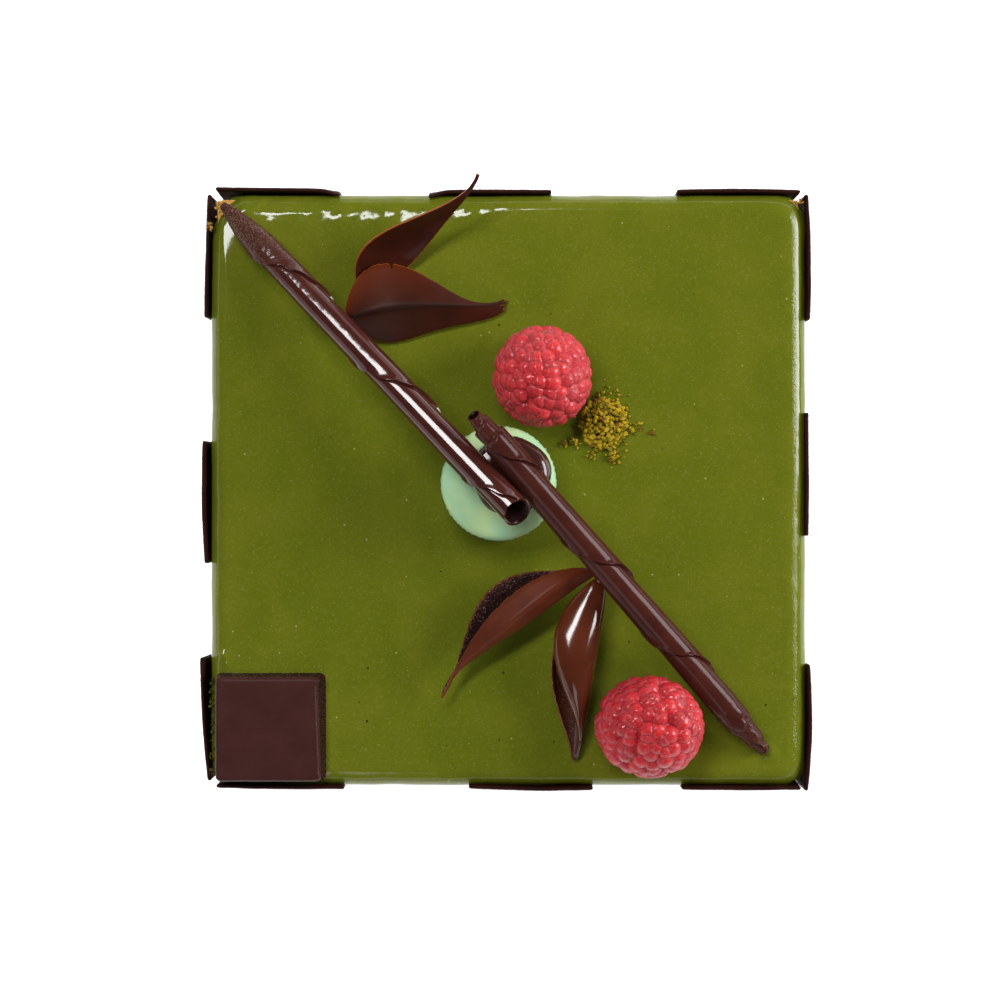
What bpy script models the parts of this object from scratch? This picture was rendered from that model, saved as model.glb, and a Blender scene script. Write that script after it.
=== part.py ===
# Square glazed opera cake with chocolate plaques, macaron, rolled sticks,
# chocolate leaves, berries and pistachio crumbs.
# Metres, +Z up. The cake stands on z = 0 and its base is centred on the origin.
# The side that is at the top of the photograph is +Y.

import bpy
import bmesh
import math
import random
import numpy as np
from mathutils import Matrix, Vector

MM = 0.001
SEED = 7

# Cake body. The glaze is a cap over the sponge with a fitting gap.
TOP_Z = 35.0
GLAZE_HALF_X = 69.9
GLAZE_HALF_Y = 69.6
GLAZE_TOP_THICK = 2.0
GLAZE_SIDE_THICK = 0.65
GLAZE_RIM_RADIUS = 2.8
GLAZE_HEM_Z = 2.4
GLAZE_CORNER_RADII = (5.5, 3.6, 3.4, 4.2)
GAP = 0.3

# Chocolate plaques round the sides.
PLAQUE_THICK = 1.1
PLAQUE_FOOT_Z = 0.6
PLAQUE_FOOT_OUT = (71.35, 71.05)

# Corner tile on the lower left of the top.
TILE_CENTRE = (-56.0, -56.3)
TILE_SIZE = (26.2, 25.9, 5.0)
TILE_BEVEL = 1.0

# Macaron and the dab of chocolate on it.
MACARON_CENTRE = (-2.2, 1.3)
MACARON_RADIUS = 13.8
SHELL_HEIGHT = 5.6
FILLING_HEIGHT = 2.7
FILLING_RADIUS = 12.9
DAB_CENTRE = (0.7, 3.2)
DAB_RADIUS = 9.2
DAB_THICK = 1.1

# Rolled sticks: tip and raised end of the axis, in millimetres above the glaze.
STICK_RADIUS = 3.5
STICK_STEP = 0.5
STICK_1_TIP = (-67.5, 67.2, 1.6)
STICK_1_END = (2.0, -5.5, 22.7)
STICK_2_TIP = (60.8, -62.0, 1.6)
STICK_2_END = (-8.0, 16.8, 24.0)

# Berries: centre on the glaze, half sizes, lean of the tip.
BERRY_1 = ((8.0, 26.3), (11.8, 12.2, 10.2), (0.0, 0.0))
BERRY_2 = ((33.1, -55.7), (12.8, 11.9, 10.0), (-16.0, -14.0))
BERRY_ROWS = ((4, 1), (18, 6), (35, 10), (53, 13), (71, 15), (89, 15), (106, 13))
DRUPELET_RADIUS = 2.3

# Crumb heap.
HEAP_CENTRE = (22.6, 15.4)
HEAP_HALF = (5.6, 6.0, 1.9)
HEAP_GRAINS = 30

# Plaques: side, span along the side, outer face at both ends and the middle.
PLAQUES = {
    "plaque_north_1": ("north", (-69.3, -40.0), (71.8, 71.6, 71.4)),
    "plaque_north_2": ("north", (-18.8, 10.3), (71.05, 71.2, 71.1)),
    "plaque_north_3": ("north", (40.1, 69.3), (71.1, 71.4, 71.05)),
    "plaque_east_1": ("east", (69.8, 40.1), (71.4, 72.0, 71.8)),
    "plaque_east_2": ("east", (18.1, -11.1), (71.4, 71.5, 71.5)),
    "plaque_east_3": ("east", (-41.6, -71.5), (71.8, 72.3, 71.3)),
    "plaque_south_1": ("south", (-69.1, -38.9), (71.0, 71.3, 71.3)),
    "plaque_south_2": ("south", (-9.3, 20.1), (71.1, 71.7, 71.5)),
    "plaque_south_3": ("south", (41.2, 69.4), (71.4, 71.6, 71.5)),
    "plaque_west_1": ("west", (69.8, 40.7), (71.4, 71.9, 72.2)),
    "plaque_west_2": ("west", (11.4, -17.6), (72.6, 72.8, 72.1)),
    "plaque_west_3": ("west", (-40.0, -69.1), (73.2, 72.7, 71.4)),
}

# Leaves: guide curves from base to tip, laid side by side across the sheet.
# Each has five control points: x, y and the height above the glaze.
LEAF_1 = (
    ((-35.4, 47.2, 2.2), (-38.5, 56.9, 9.1), (-32.5, 62.7, 12.1), (-9.6, 63.4, 13.2), (-7.3, 73.4, 16.8)),
    ((-33.4, 46.6, 1.1), (-28.2, 56.1, 1.7), (-25.3, 63.0, 8.4), (-10.5, 63.3, 13.5), (-6.9, 73.1, 16.7)),
    ((-31.0, 46.8, 1.0), (-19.3, 53.3, 1.3), (-15.1, 65.2, 8.2), (-11.8, 63.5, 12.2), (-6.5, 72.8, 16.6)),
)
LEAF_2 = (
    ((-38.3, 41.6, 5.2), (-35.0, 63.9, 3.8), (-15.1, 50.9, 7.1), (-11.9, 38.8, 4.1), (0.0, 45.5, 1.2)),
    ((-37.6, 40.2, 5.9), (-29.6, 43.0, 12.0), (-17.3, 44.6, 8.8), (-9.8, 42.1, 3.5), (-0.2, 44.2, 1.2)),
    ((-36.5, 38.6, 4.6), (-23.4, 27.6, -3.4), (-22.3, 43.1, 4.9), (-5.9, 36.4, 0.2), (-0.6, 42.6, 1.1)),
)
LEAF_3 = (
    ((19.7, -18.9, 8.6), (9.4, -16.2, 12.9), (-6.3, -25.8, 10.5), (-10.2, -38.5, 7.4), (-15.7, -49.1, 6.0)),
    ((20.4, -19.1, 8.8), (7.9, -20.0, 14.6), (2.5, -36.0, 14.9), (-11.9, -36.0, 5.7), (-15.6, -49.1, 5.8)),
    ((21.1, -19.8, 8.1), (10.8, -25.0, 10.2), (4.2, -36.4, 7.1), (-12.0, -37.0, 6.8), (-15.5, -49.2, 5.6)),
    ((20.5, -19.7, 7.2), (8.4, -24.2, 5.1), (-2.3, -27.5, -0.6), (-10.9, -38.8, 7.8), (-15.6, -49.2, 5.4)),
    ((19.5, -19.2, 6.9), (2.8, -19.7, 3.4), (-11.7, -14.7, 15.2), (-8.7, -41.7, 3.0), (-15.7, -49.1, 5.2)),
)
LEAF_4 = (
    ((20.9, -21.2, 7.2), (9.4, -29.6, 8.0), (4.5, -41.0, 11.0), (22.0, -53.1, 7.5), (16.2, -64.0, 1.5)),
    ((21.8, -20.9, 7.5), (15.7, -29.7, 9.5), (14.3, -43.0, 16.0), (19.7, -53.0, 8.5), (15.9, -64.1, 1.3)),
    ((22.7, -21.5, 7.0), (22.8, -31.1, 7.0), (19.4, -42.8, 9.5), (19.0, -53.3, 5.0), (15.6, -64.2, 1.2)),
    ((22.1, -21.6, 6.4), (19.1, -30.7, 1.1), (12.7, -44.4, 1.1), (16.8, -53.4, 2.2), (15.3, -64.2, 1.1)),
    ((21.2, -21.7, 6.2), (11.3, -30.7, 5.0), (4.0, -43.8, 8.2), (14.4, -53.1, 1.7), (15.0, -64.1, 1.1)),
)
LEAF_THICK = 0.75
LEAF_STATIONS = 16
LEAF_ACROSS = 8


def clear_scene():
    for obj in list(bpy.data.objects):
        bpy.data.objects.remove(obj, do_unlink=True)


def new_collection(name):
    coll = bpy.data.collections.new(name)
    bpy.context.scene.collection.children.link(coll)
    return coll


def new_material(name, colour, roughness):
    mat = bpy.data.materials.new(name)
    mat.use_nodes = True
    shader = mat.node_tree.nodes["Principled BSDF"]
    shader.inputs["Base Color"].default_value = (*colour, 1.0)
    shader.inputs["Roughness"].default_value = roughness
    mat.diffuse_color = (*colour, 1.0)
    return mat


def add_object(name, mesh, coll, mat=None, smooth=True):
    obj = bpy.data.objects.new(name, mesh)
    coll.objects.link(obj)
    if mat is not None:
        mesh.materials.append(mat)
    for poly in mesh.polygons:
        poly.use_smooth = smooth
    return obj


def mesh_from(name, points, faces):
    mesh = bpy.data.meshes.new(name)
    mesh.from_pydata([(p[0] * MM, p[1] * MM, p[2] * MM) for p in points], [], faces)
    mesh.validate()
    bm = bmesh.new()
    bm.from_mesh(mesh)
    bmesh.ops.recalc_face_normals(bm, faces=bm.faces)
    bm.to_mesh(mesh)
    bm.free()
    return mesh


def apply_modifiers(obj):
    depsgraph = bpy.context.evaluated_depsgraph_get()
    mesh = bpy.data.meshes.new_from_object(obj.evaluated_get(depsgraph))
    obj.modifiers.clear()
    old = obj.data
    obj.data = mesh
    bpy.data.meshes.remove(old)
    mesh.name = obj.name


def cut(obj, cutter):
    mod = obj.modifiers.new("cut", "BOOLEAN")
    mod.operation = "DIFFERENCE"
    mod.solver = "EXACT"
    mod.object = cutter
    apply_modifiers(obj)


def rounded_outline(half_x, half_y, radii, steps):
    # Corners go round from upper left to upper right, lower right and lower left.
    signs = ((-1, 1), (1, 1), (1, -1), (-1, -1))
    starts = (180, 90, 0, -90)
    points = []
    for (sx, sy), radius, start in zip(signs, radii, starts):
        cx = sx * (half_x - radius)
        cy = sy * (half_y - radius)
        for k in range(steps + 1):
            angle = math.radians(start - 90 * k / steps)
            points.append((cx + radius * math.cos(angle), cy + radius * math.sin(angle)))
    return points


def prism(name, outline, z0, z1, coll, mat=None):
    bm = bmesh.new()
    verts = [bm.verts.new((x * MM, y * MM, z0 * MM)) for x, y in outline]
    base = bm.faces.new(verts)
    grown = bmesh.ops.extrude_face_region(bm, geom=[base])["geom"]
    tops = [item for item in grown if isinstance(item, bmesh.types.BMVert)]
    bmesh.ops.translate(bm, verts=tops, vec=(0, 0, (z1 - z0) * MM))
    bmesh.ops.recalc_face_normals(bm, faces=bm.faces)
    mesh = bpy.data.meshes.new(name)
    bm.to_mesh(mesh)
    bm.free()
    return add_object(name, mesh, coll, mat, smooth=False)


def bevel_top(obj, z, radius, segments):
    bm = bmesh.new()
    bm.from_mesh(obj.data)
    edges = [e for e in bm.edges if all(abs(v.co.z - z * MM) < 1e-7 for v in e.verts)]
    bmesh.ops.bevel(bm, geom=edges, offset=radius * MM, segments=segments,
                    profile=0.5, affect="EDGES", clamp_overlap=True)
    bm.to_mesh(obj.data)
    bm.free()


def build_body(coll, cutters, sponge_mat, glaze_mat):
    inner_x = GLAZE_HALF_X - GLAZE_SIDE_THICK
    inner_y = GLAZE_HALF_Y - GLAZE_SIDE_THICK
    outline = rounded_outline(GLAZE_HALF_X, GLAZE_HALF_Y, GLAZE_CORNER_RADII, 6)
    glaze = prism("glaze", outline, GLAZE_HEM_Z, TOP_Z, coll, glaze_mat)
    bevel_top(glaze, TOP_Z, GLAZE_RIM_RADIUS, 4)

    inner_radii = [1.5, 1.5] + [r - GLAZE_SIDE_THICK for r in GLAZE_CORNER_RADII[2:]]
    hollow_outline = rounded_outline(inner_x, inner_y, inner_radii, 4)
    hollow = prism("hollow", hollow_outline, -1.0, TOP_Z - GLAZE_TOP_THICK, cutters)
    cut(glaze, hollow)

    # The glaze stops short of the two upper corners, where the sponge shows.
    left = [(-80, 63.4), (-69.4, 63.4), (-68.2, 66.3), (-65.4, 67.6), (-65.4, 80), (-80, 80)]
    right = [(80, 67.0), (69.6, 67.0), (68.6, 67.9), (67.9, 69.0), (67.9, 80), (80, 80)]
    for name, corner in (("corner_left", left), ("corner_right", right)):
        cut(glaze, prism(name, corner, -1.0, TOP_Z + 1.0, cutters))
    glaze.data.set_sharp_from_angle(angle=math.radians(40))

    # The sponge is the body of the cake, solid through.
    sponge_x = inner_x - GAP
    sponge_y = inner_y - GAP
    radii = [1.2, 1.2] + [r - GLAZE_SIDE_THICK for r in GLAZE_CORNER_RADII[2:]]
    sponge_outline = rounded_outline(sponge_x, sponge_y, radii, 4)
    sponge = prism("sponge", sponge_outline, 0.0, TOP_Z - GLAZE_TOP_THICK - GAP, coll, sponge_mat)
    return glaze, sponge


def side_point(side, along, out, z):
    if side == "north":
        return (along, out, z)
    if side == "south":
        return (along, -out, z)
    if side == "east":
        return (out, along, z)
    return (-out, along, z)


def build_plaque(name, spec, coll, mat):
    side, span, outs = spec
    foot = PLAQUE_FOOT_OUT[0] if side in ("east", "west") else PLAQUE_FOOT_OUT[1]
    length_steps = 6
    top = TOP_Z - 0.4
    points = []
    faces = []
    for i in range(length_steps + 1):
        t = i / length_steps
        along = span[0] + (span[1] - span[0]) * t
        out_top = outs[0] * (1 - t) * (1 - 2 * t) + outs[1] * 4 * t * (1 - t) + outs[2] * t * (2 * t - 1)
        out_foot = min(foot + 0.25 * (out_top - foot), out_top)
        for z, out in ((PLAQUE_FOOT_Z, out_foot), (top, out_top)):
            points.append(side_point(side, along, out - PLAQUE_THICK, z))
            points.append(side_point(side, along, out, z))
    for i in range(length_steps):
        a = 4 * i
        b = a + 4
        faces += [(a, a + 1, b + 1, b), (a + 1, a + 3, b + 3, b + 1),
                  (a + 3, a + 2, b + 2, b + 3), (a + 2, a, b, b + 2)]
    end = 4 * length_steps
    faces += [(0, 2, 3, 1), (end, end + 1, end + 3, end + 2)]
    obj = add_object(name, mesh_from(name, points, faces), coll, mat)
    bevel = obj.modifiers.new("edge", "BEVEL")
    bevel.width = 0.2 * MM
    bevel.segments = 1
    bevel.limit_method = "ANGLE"
    bevel.angle_limit = math.radians(40)
    apply_modifiers(obj)
    obj.data.set_sharp_from_angle(angle=math.radians(35))
    return obj


def build_tile(coll, mat):
    bpy.ops.mesh.primitive_cube_add(size=1.0)
    tile = bpy.context.object
    tile.name = "corner_tile"
    size = Vector(TILE_SIZE) * MM
    centre = Vector((TILE_CENTRE[0], TILE_CENTRE[1], TOP_Z + GAP + TILE_SIZE[2] / 2)) * MM
    tile.data.transform(Matrix.Translation(centre) @ Matrix.Diagonal((*size, 1.0)))
    for owner in list(tile.users_collection):
        owner.objects.unlink(tile)
    coll.objects.link(tile)
    tile.data.materials.append(mat)
    bevel = tile.modifiers.new("edge", "BEVEL")
    bevel.width = TILE_BEVEL * MM
    bevel.segments = 3
    apply_modifiers(tile)
    for poly in tile.data.polygons:
        poly.use_smooth = True
    tile.data.set_sharp_from_angle(angle=math.radians(40))
    return tile


def turned(name, profile, centre, sides, coll, mat):
    # A body of revolution made with the Screw modifier from a half profile.
    mesh = bpy.data.meshes.new(name)
    mesh.from_pydata([(r * MM, 0.0, z * MM) for r, z in profile],
                     [(i, i + 1) for i in range(len(profile) - 1)], [])
    obj = add_object(name, mesh, coll, mat)
    screw = obj.modifiers.new("turn", "SCREW")
    screw.steps = sides
    screw.render_steps = sides
    screw.use_merge_vertices = True
    screw.merge_threshold = 0.00001
    apply_modifiers(obj)
    bm = bmesh.new()
    bm.from_mesh(obj.data)
    bmesh.ops.remove_doubles(bm, verts=bm.verts, dist=1e-6)
    bmesh.ops.recalc_face_normals(bm, faces=bm.faces)
    bm.to_mesh(obj.data)
    bm.free()
    obj.data.transform(Matrix.Translation((centre[0] * MM, centre[1] * MM, 0.0)))
    for poly in obj.data.polygons:
        poly.use_smooth = True
    return obj


def shell_profile(z_foot, direction):
    # Ruffled foot of the shell, then the smooth dome up to its crown.
    shape = ((0.0, 0.0), (12.9, 0.0), (13.6, 0.35), (13.8, 0.9), (13.55, 1.5), (13.4, 2.1),
             (12.7, 3.4), (11.4, 4.3), (9.2, 4.95), (6.2, 5.4), (3.0, 5.57), (0.0, SHELL_HEIGHT))
    scale = MACARON_RADIUS / 13.8
    return [(r * scale, z_foot + direction * h) for r, h in shape]


def build_macaron(coll, shell_mat, filling_mat):
    low = TOP_Z + GAP + SHELL_HEIGHT
    turned("macaron_bottom", shell_profile(low, -1), MACARON_CENTRE, 20, coll, shell_mat)
    z0 = low + 0.2
    z1 = z0 + FILLING_HEIGHT
    r = FILLING_RADIUS
    fill = ((0.0, z0), (r - 0.5, z0), (r, z0 + 0.5), (r + 0.15, (z0 + z1) / 2), (r, z1 - 0.5), (r - 0.5, z1), (0.0, z1))
    turned("macaron_filling", fill, MACARON_CENTRE, 20, coll, filling_mat)
    high = z1 + 0.2
    turned("macaron_top", shell_profile(high, 1), MACARON_CENTRE, 20, coll, shell_mat)
    return high


def dome_height(x, y, z_foot):
    radius = math.hypot(x - MACARON_CENTRE[0], y - MACARON_CENTRE[1])
    profile = sorted(shell_profile(z_foot, 1)[3:])
    return float(np.interp(radius, [p[0] for p in profile], [p[1] for p in profile]))


def build_dab(z_foot, coll, mat):
    # A spread dab that follows the dome, thick in the middle and round at its edge.
    rings = (0.0, 0.35, 0.65, 0.85, 0.96)
    sides = 20
    top = []
    under = []
    for share in rings:
        count = 1 if share == 0.0 else sides
        for k in range(count):
            angle = 2 * math.pi * k / sides
            wobble = 1.0 + 0.03 * math.sin(3 * angle + 0.8) + 0.02 * math.sin(5 * angle)
            x = DAB_CENTRE[0] + DAB_RADIUS * share * wobble * math.cos(angle)
            y = DAB_CENTRE[1] + DAB_RADIUS * share * wobble * math.sin(angle)
            base = dome_height(x, y, z_foot) + 0.35
            under.append((x, y, base))
            top.append((x, y, base + 0.25 + DAB_THICK * math.sqrt(1 - share ** 3)))
    rim = []
    for k in range(sides):
        angle = 2 * math.pi * k / sides
        wobble = 1.0 + 0.03 * math.sin(3 * angle + 0.8) + 0.02 * math.sin(5 * angle)
        x = DAB_CENTRE[0] + DAB_RADIUS * wobble * math.cos(angle)
        y = DAB_CENTRE[1] + DAB_RADIUS * wobble * math.sin(angle)
        rim.append((x, y, dome_height(x, y, z_foot) + 0.5))
    points = top + under + rim
    faces = []
    for offset in (0, len(top)):
        for k in range(sides):
            n = (k + 1) % sides
            faces.append((offset, offset + 1 + k, offset + 1 + n))
            for ring in range(len(rings) - 2):
                a = offset + 1 + ring * sides
                b = a + sides
                faces.append((a + k, b + k, b + n, a + n))
            last = offset + 1 + (len(rings) - 2) * sides
            edge = 2 * len(top)
            faces.append((last + k, edge + k, edge + n, last + n))
    return add_object("chocolate_dab", mesh_from("chocolate_dab", points, faces), coll, mat)


def stick_radius(kind, distance, length):
    # Distance runs along the axis from the pointed tip.
    taper = np.interp(distance, (0.0, 1.2, 4.7, 8.3, 11.8, 15.4), (0.22, 0.40, 0.56, 0.74, 0.88, 1.0))
    if kind == 2:
        taper *= np.interp(length - distance, (0.0, 0.8, 2.4, 3.2, 6.4, 7.2), (0.56, 0.62, 0.64, 0.84, 0.86, 1.0))
    return STICK_RADIUS * float(taper)


def spiral_radius(angle, seam, radius):
    # The wound sheet stands proud on one side of its seam and thins round the turn.
    turn = ((angle - seam) / (2 * math.pi)) % 1.0
    return radius + STICK_STEP * radius / STICK_RADIUS * (turn - 0.5)


def build_stick(kind, tip, end, pitch, phase, slant, bore, bore_depth, coll, mat):
    # Rolled sheet: a spiral section turned along the axis, with a bore in the raised end.
    start = Vector((tip[0], tip[1], tip[2] + TOP_Z))
    finish = Vector((end[0], end[1], end[2] + TOP_Z))
    axis = (finish - start).normalized()
    side = axis.cross(Vector((0, 0, 1))).normalized()
    up = side.cross(axis).normalized()
    length = (finish - start).length
    sides = 14
    stations = [0.0, 1.2, 4.7, 8.3, 11.8, 15.4]
    if kind == 1:
        stations += list(np.linspace(20.0, length, 16))
    else:
        stations += list(np.linspace(20.0, length - 11.0, 13))
        stations += [length - 7.2, length - 6.4, length - 3.2, length - 2.4, length - 0.8, length]
    rings = []
    for distance in stations:
        radius = stick_radius(kind, distance, length)
        seam = phase + 2 * math.pi * distance / pitch
        ring = []
        for j in range(sides):
            angle = 2 * math.pi * j / sides
            r = spiral_radius(angle, seam, radius)
            lean = slant * math.cos(angle) * (1.0 if distance == stations[-1] else 0.0)
            ring.append(start + axis * (distance - lean) + (side * math.sin(angle) + up * math.cos(angle)) * r)
        rings.append(ring)
    for depth in (0.0, bore_depth):
        ring = []
        for j in range(sides):
            angle = 2 * math.pi * j / sides
            lean = slant * math.cos(angle) * (1.0 if depth == 0.0 else 0.0)
            ring.append(start + axis * (length - depth - lean) + (side * math.sin(angle) + up * math.cos(angle)) * bore)
        rings.append(ring)
    points = [tuple(p) for ring in rings for p in ring]
    faces = []
    for i in range(len(rings) - 1):
        for j in range(sides):
            a = i * sides + j
            b = i * sides + (j + 1) % sides
            faces.append((a, b, b + sides, a + sides))
    faces.append(tuple(range(sides)))
    last = (len(rings) - 1) * sides
    faces.append(tuple(last + sides - 1 - j for j in range(sides)))
    name = "stick_%d" % kind
    obj = add_object(name, mesh_from(name, points, faces), coll, mat)
    obj.data.set_sharp_from_angle(angle=math.radians(50))
    return obj


def leaf_surface(guides, us, vs):
    # Bezier along each guide curve, and one smooth polynomial across all of them.
    guides = np.array(guides, dtype=float)
    degree = guides.shape[1] - 1
    along = np.stack([math.comb(degree, k) * us ** k * (1 - us) ** (degree - k) for k in range(degree + 1)])
    knots = np.linspace(0, 1, len(guides))
    across = np.ones((len(guides), len(vs)))
    for j, knot in enumerate(knots):
        for other in np.delete(knots, j):
            across[j] *= (vs - other) / (knot - other)
    return np.einsum("ku,jv,jkc->uvc", along, across, guides)


def build_leaf(name, guides, coll, mat):
    # A thin sheet through the guide curves, with both faces split alike.
    us = np.linspace(0, 1, LEAF_STATIONS)
    vs = np.linspace(0, 1, LEAF_ACROSS)
    grid = leaf_surface(guides, us, vs)
    along = np.gradient(grid, axis=0)
    across = np.gradient(grid, axis=1)
    normal = np.cross(along, across)
    normal /= np.linalg.norm(normal, axis=2, keepdims=True)
    share = np.linspace(0, 1, LEAF_STATIONS)[:, None, None]
    half = 0.5 * LEAF_THICK * (0.72 + 0.28 * np.sin(np.pi * share) ** 0.5)
    faces_up = grid + normal * half
    faces_down = grid - normal * half
    shift = np.array((0.0, 0.0, TOP_Z))
    points = [tuple(p + shift) for p in faces_up.reshape(-1, 3)]
    points += [tuple(p + shift) for p in faces_down.reshape(-1, 3)]
    rows, cols = grid.shape[:2]
    size = rows * cols
    faces = []
    for i in range(rows - 1):
        for j in range(cols - 1):
            a = i * cols + j
            b = a + 1
            c = a + cols + 1
            d = a + cols
            faces += [(a, b, c), (a, c, d), (size + c, size + b, size + a), (size + d, size + c, size + a)]
    border = [j for j in range(cols)] + [i * cols + cols - 1 for i in range(1, rows)]
    border += [(rows - 1) * cols + j for j in range(cols - 2, -1, -1)] + [i * cols for i in range(rows - 2, 0, -1)]
    for k, a in enumerate(border):
        b = border[(k + 1) % len(border)]
        faces += [(b, a, size + a), (b, size + a, size + b)]
    obj = add_object(name, mesh_from(name, points, faces), coll, mat)
    obj.data.set_sharp_from_angle(angle=math.radians(60))
    return obj


def join_as_one(name, parts, coll, mat):
    # One exact union of a collection fuses every piece into a single solid.
    group = new_collection(name + "_pieces")
    for part in parts[1:]:
        for owner in list(part.users_collection):
            owner.objects.unlink(part)
        group.objects.link(part)
    base = parts[0]
    mod = base.modifiers.new("fuse", "BOOLEAN")
    mod.operation = "UNION"
    mod.solver = "EXACT"
    mod.operand_type = "COLLECTION"
    mod.collection = group
    apply_modifiers(base)
    for part in list(group.objects):
        bpy.data.objects.remove(part, do_unlink=True)
    bpy.data.collections.remove(group)
    base.name = name
    base.data.name = name
    base.data.materials.clear()
    base.data.materials.append(mat)
    keep_largest(base)
    for poly in base.data.polygons:
        poly.use_smooth = True
    base.data.set_sharp_from_angle(angle=math.radians(50))
    return base


def keep_largest(obj):
    # Drops loose scraps that a union can leave behind.
    bm = bmesh.new()
    bm.from_mesh(obj.data)
    bm.verts.ensure_lookup_table()
    seen = set()
    islands = []
    for vert in bm.verts:
        if vert in seen:
            continue
        stack = [vert]
        island = set()
        while stack:
            here = stack.pop()
            if here in island:
                continue
            island.add(here)
            stack.extend(e.other_vert(here) for e in here.link_edges)
        seen |= island
        islands.append(island)
    islands.sort(key=len)
    for island in islands[:-1]:
        bmesh.ops.delete(bm, geom=list(island), context="VERTS")
    bmesh.ops.recalc_face_normals(bm, faces=bm.faces)
    bm.to_mesh(obj.data)
    bm.free()


def ball(name, centre, radii, detail, turn, coll):
    mesh = bpy.data.meshes.new(name)
    bm = bmesh.new()
    bmesh.ops.create_icosphere(bm, subdivisions=detail, radius=1.0)
    bm.to_mesh(mesh)
    bm.free()
    scale = Matrix.Diagonal((radii[0] * MM, radii[1] * MM, radii[2] * MM, 1.0))
    place = Matrix.Translation(Vector(centre) * MM)
    mesh.transform(place @ turn @ scale)
    return add_object(name, mesh, coll)


def drupelets(rng):
    # Directions of the drupelets, row by row from the tip to the crown.
    found = []
    for row, (polar, count) in enumerate(BERRY_ROWS):
        for k in range(count):
            turn = 2 * math.pi * (k + 0.5 * (row % 2)) / count + rng.uniform(-0.05, 0.05)
            tilt = math.radians(polar + rng.uniform(-2.0, 2.0))
            size = rng.uniform(0.92, 1.06) * (0.85 if row == 0 else 1.0)
            found.append((tilt, turn, size))
    return found


def build_berry(name, spec, seed, coll, cutters, mat):
    centre, half, lean = spec
    rng = random.Random(seed)
    middle = Vector((centre[0], centre[1], TOP_Z + GAP + half[2] * 0.86))
    tilt = Matrix.Rotation(math.radians(lean[0]), 4, "Y") @ Matrix.Rotation(math.radians(-lean[1]), 4, "X")
    core = ball(name, middle, [h - 1.5 for h in half], 2, tilt, coll)
    parts = [core]
    for k, (polar, turn, size) in enumerate(drupelets(rng)):
        radius = DRUPELET_RADIUS * size
        reach = Vector((math.sin(polar) * math.cos(turn) * (half[0] - radius),
                        math.sin(polar) * math.sin(turn) * (half[1] - radius),
                        math.cos(polar) * (half[2] - radius)))
        where = middle + tilt.to_3x3() @ reach
        spin = Matrix.Rotation(rng.uniform(0, 6.28), 4, Vector((rng.uniform(-1, 1), rng.uniform(-1, 1), 1.0)))
        parts.append(ball("drupelet", where, (radius,) * 3, 1, spin, coll))
    berry = join_as_one(name, parts, coll, mat)
    floor = prism("berry_floor", [(-60, -90), (60, -90), (60, 60), (-60, 60)], 20.0, TOP_Z + GAP, cutters)
    cut(berry, floor)
    return berry


def build_crumbs(coll, cutters, mat):
    rng = random.Random(SEED)
    base = Vector((HEAP_CENTRE[0], HEAP_CENTRE[1], TOP_Z + GAP + 0.2))
    flat = Matrix.Identity(4)
    core = ball("pistachio_crumbs", base, HEAP_HALF, 2, flat, coll)
    parts = [core]
    for k in range(HEAP_GRAINS):
        angle = k * 2.39996
        share = math.sqrt((k + 0.5) / HEAP_GRAINS)
        x = HEAP_HALF[0] * share * math.cos(angle)
        y = HEAP_HALF[1] * share * math.sin(angle)
        z = HEAP_HALF[2] * math.sqrt(max(0.0, 1 - share * share)) * 0.9 + 0.15
        radii = [rng.uniform(0.5, 0.95) for axis in range(3)]
        spin = Matrix.Rotation(rng.uniform(0, 6.28), 4, Vector((rng.uniform(-1, 1), rng.uniform(-1, 1), 1.0)))
        parts.append(ball("grain", base + Vector((x, y, z)), radii, 1, spin, coll))
    heap = join_as_one("pistachio_crumbs", parts, coll, mat)
    floor = prism("crumb_floor", [(10, 0), (40, 0), (40, 30), (10, 30)], 20.0, TOP_Z + GAP, cutters)
    cut(heap, floor)
    return heap


def main():
    clear_scene()
    coll = new_collection("opera_cake")
    cutters = new_collection("cutters")
    sponge_mat = new_material("sponge", (0.62, 0.36, 0.10), 0.9)
    glaze_mat = new_material("green_glaze", (0.13, 0.15, 0.02), 0.12)
    dark_mat = new_material("dark_chocolate", (0.045, 0.018, 0.012), 0.35)
    shell_mat = new_material("macaron_shell", (0.28, 0.52, 0.27), 0.7)
    filling_mat = new_material("macaron_filling", (0.35, 0.47, 0.25), 0.6)
    berry_mat = new_material("berry_red", (0.42, 0.03, 0.04), 0.4)
    crumb_mat = new_material("pistachio", (0.22, 0.22, 0.06), 0.8)

    build_body(coll, cutters, sponge_mat, glaze_mat)
    for name, spec in PLAQUES.items():
        build_plaque(name, spec, coll, dark_mat)
    build_tile(coll, dark_mat)
    top_foot = build_macaron(coll, shell_mat, filling_mat)
    build_dab(top_foot, coll, dark_mat)
    build_stick(1, STICK_1_TIP, STICK_1_END, -37.1, 3.83, 1.8, 2.5, 7.0, coll, dark_mat)
    build_stick(2, STICK_2_TIP, STICK_2_END, -31.2, 6.18, 0.5, 1.3, 4.0, coll, dark_mat)
    for number, guides in enumerate((LEAF_1, LEAF_2, LEAF_3, LEAF_4), 1):
        build_leaf("leaf_%d" % number, guides, coll, dark_mat)
    build_berry("berry_1", BERRY_1, 11, coll, cutters, berry_mat)
    build_berry("berry_2", BERRY_2, 12, coll, cutters, berry_mat)
    build_crumbs(coll, cutters, crumb_mat)

    for helper in list(cutters.objects):
        bpy.data.objects.remove(helper, do_unlink=True)
    bpy.data.collections.remove(cutters)


main()
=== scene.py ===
# Looks of the square glazed opera cake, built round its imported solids.
# Numbers are millimetres unless a name says otherwise, and MM turns them into metres.
# The cake stands on z = 0, and the side that is at the top of the photograph is +Y.

import math

import bmesh
import bpy
import numpy as np
from mathutils import Matrix, Vector


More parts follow.
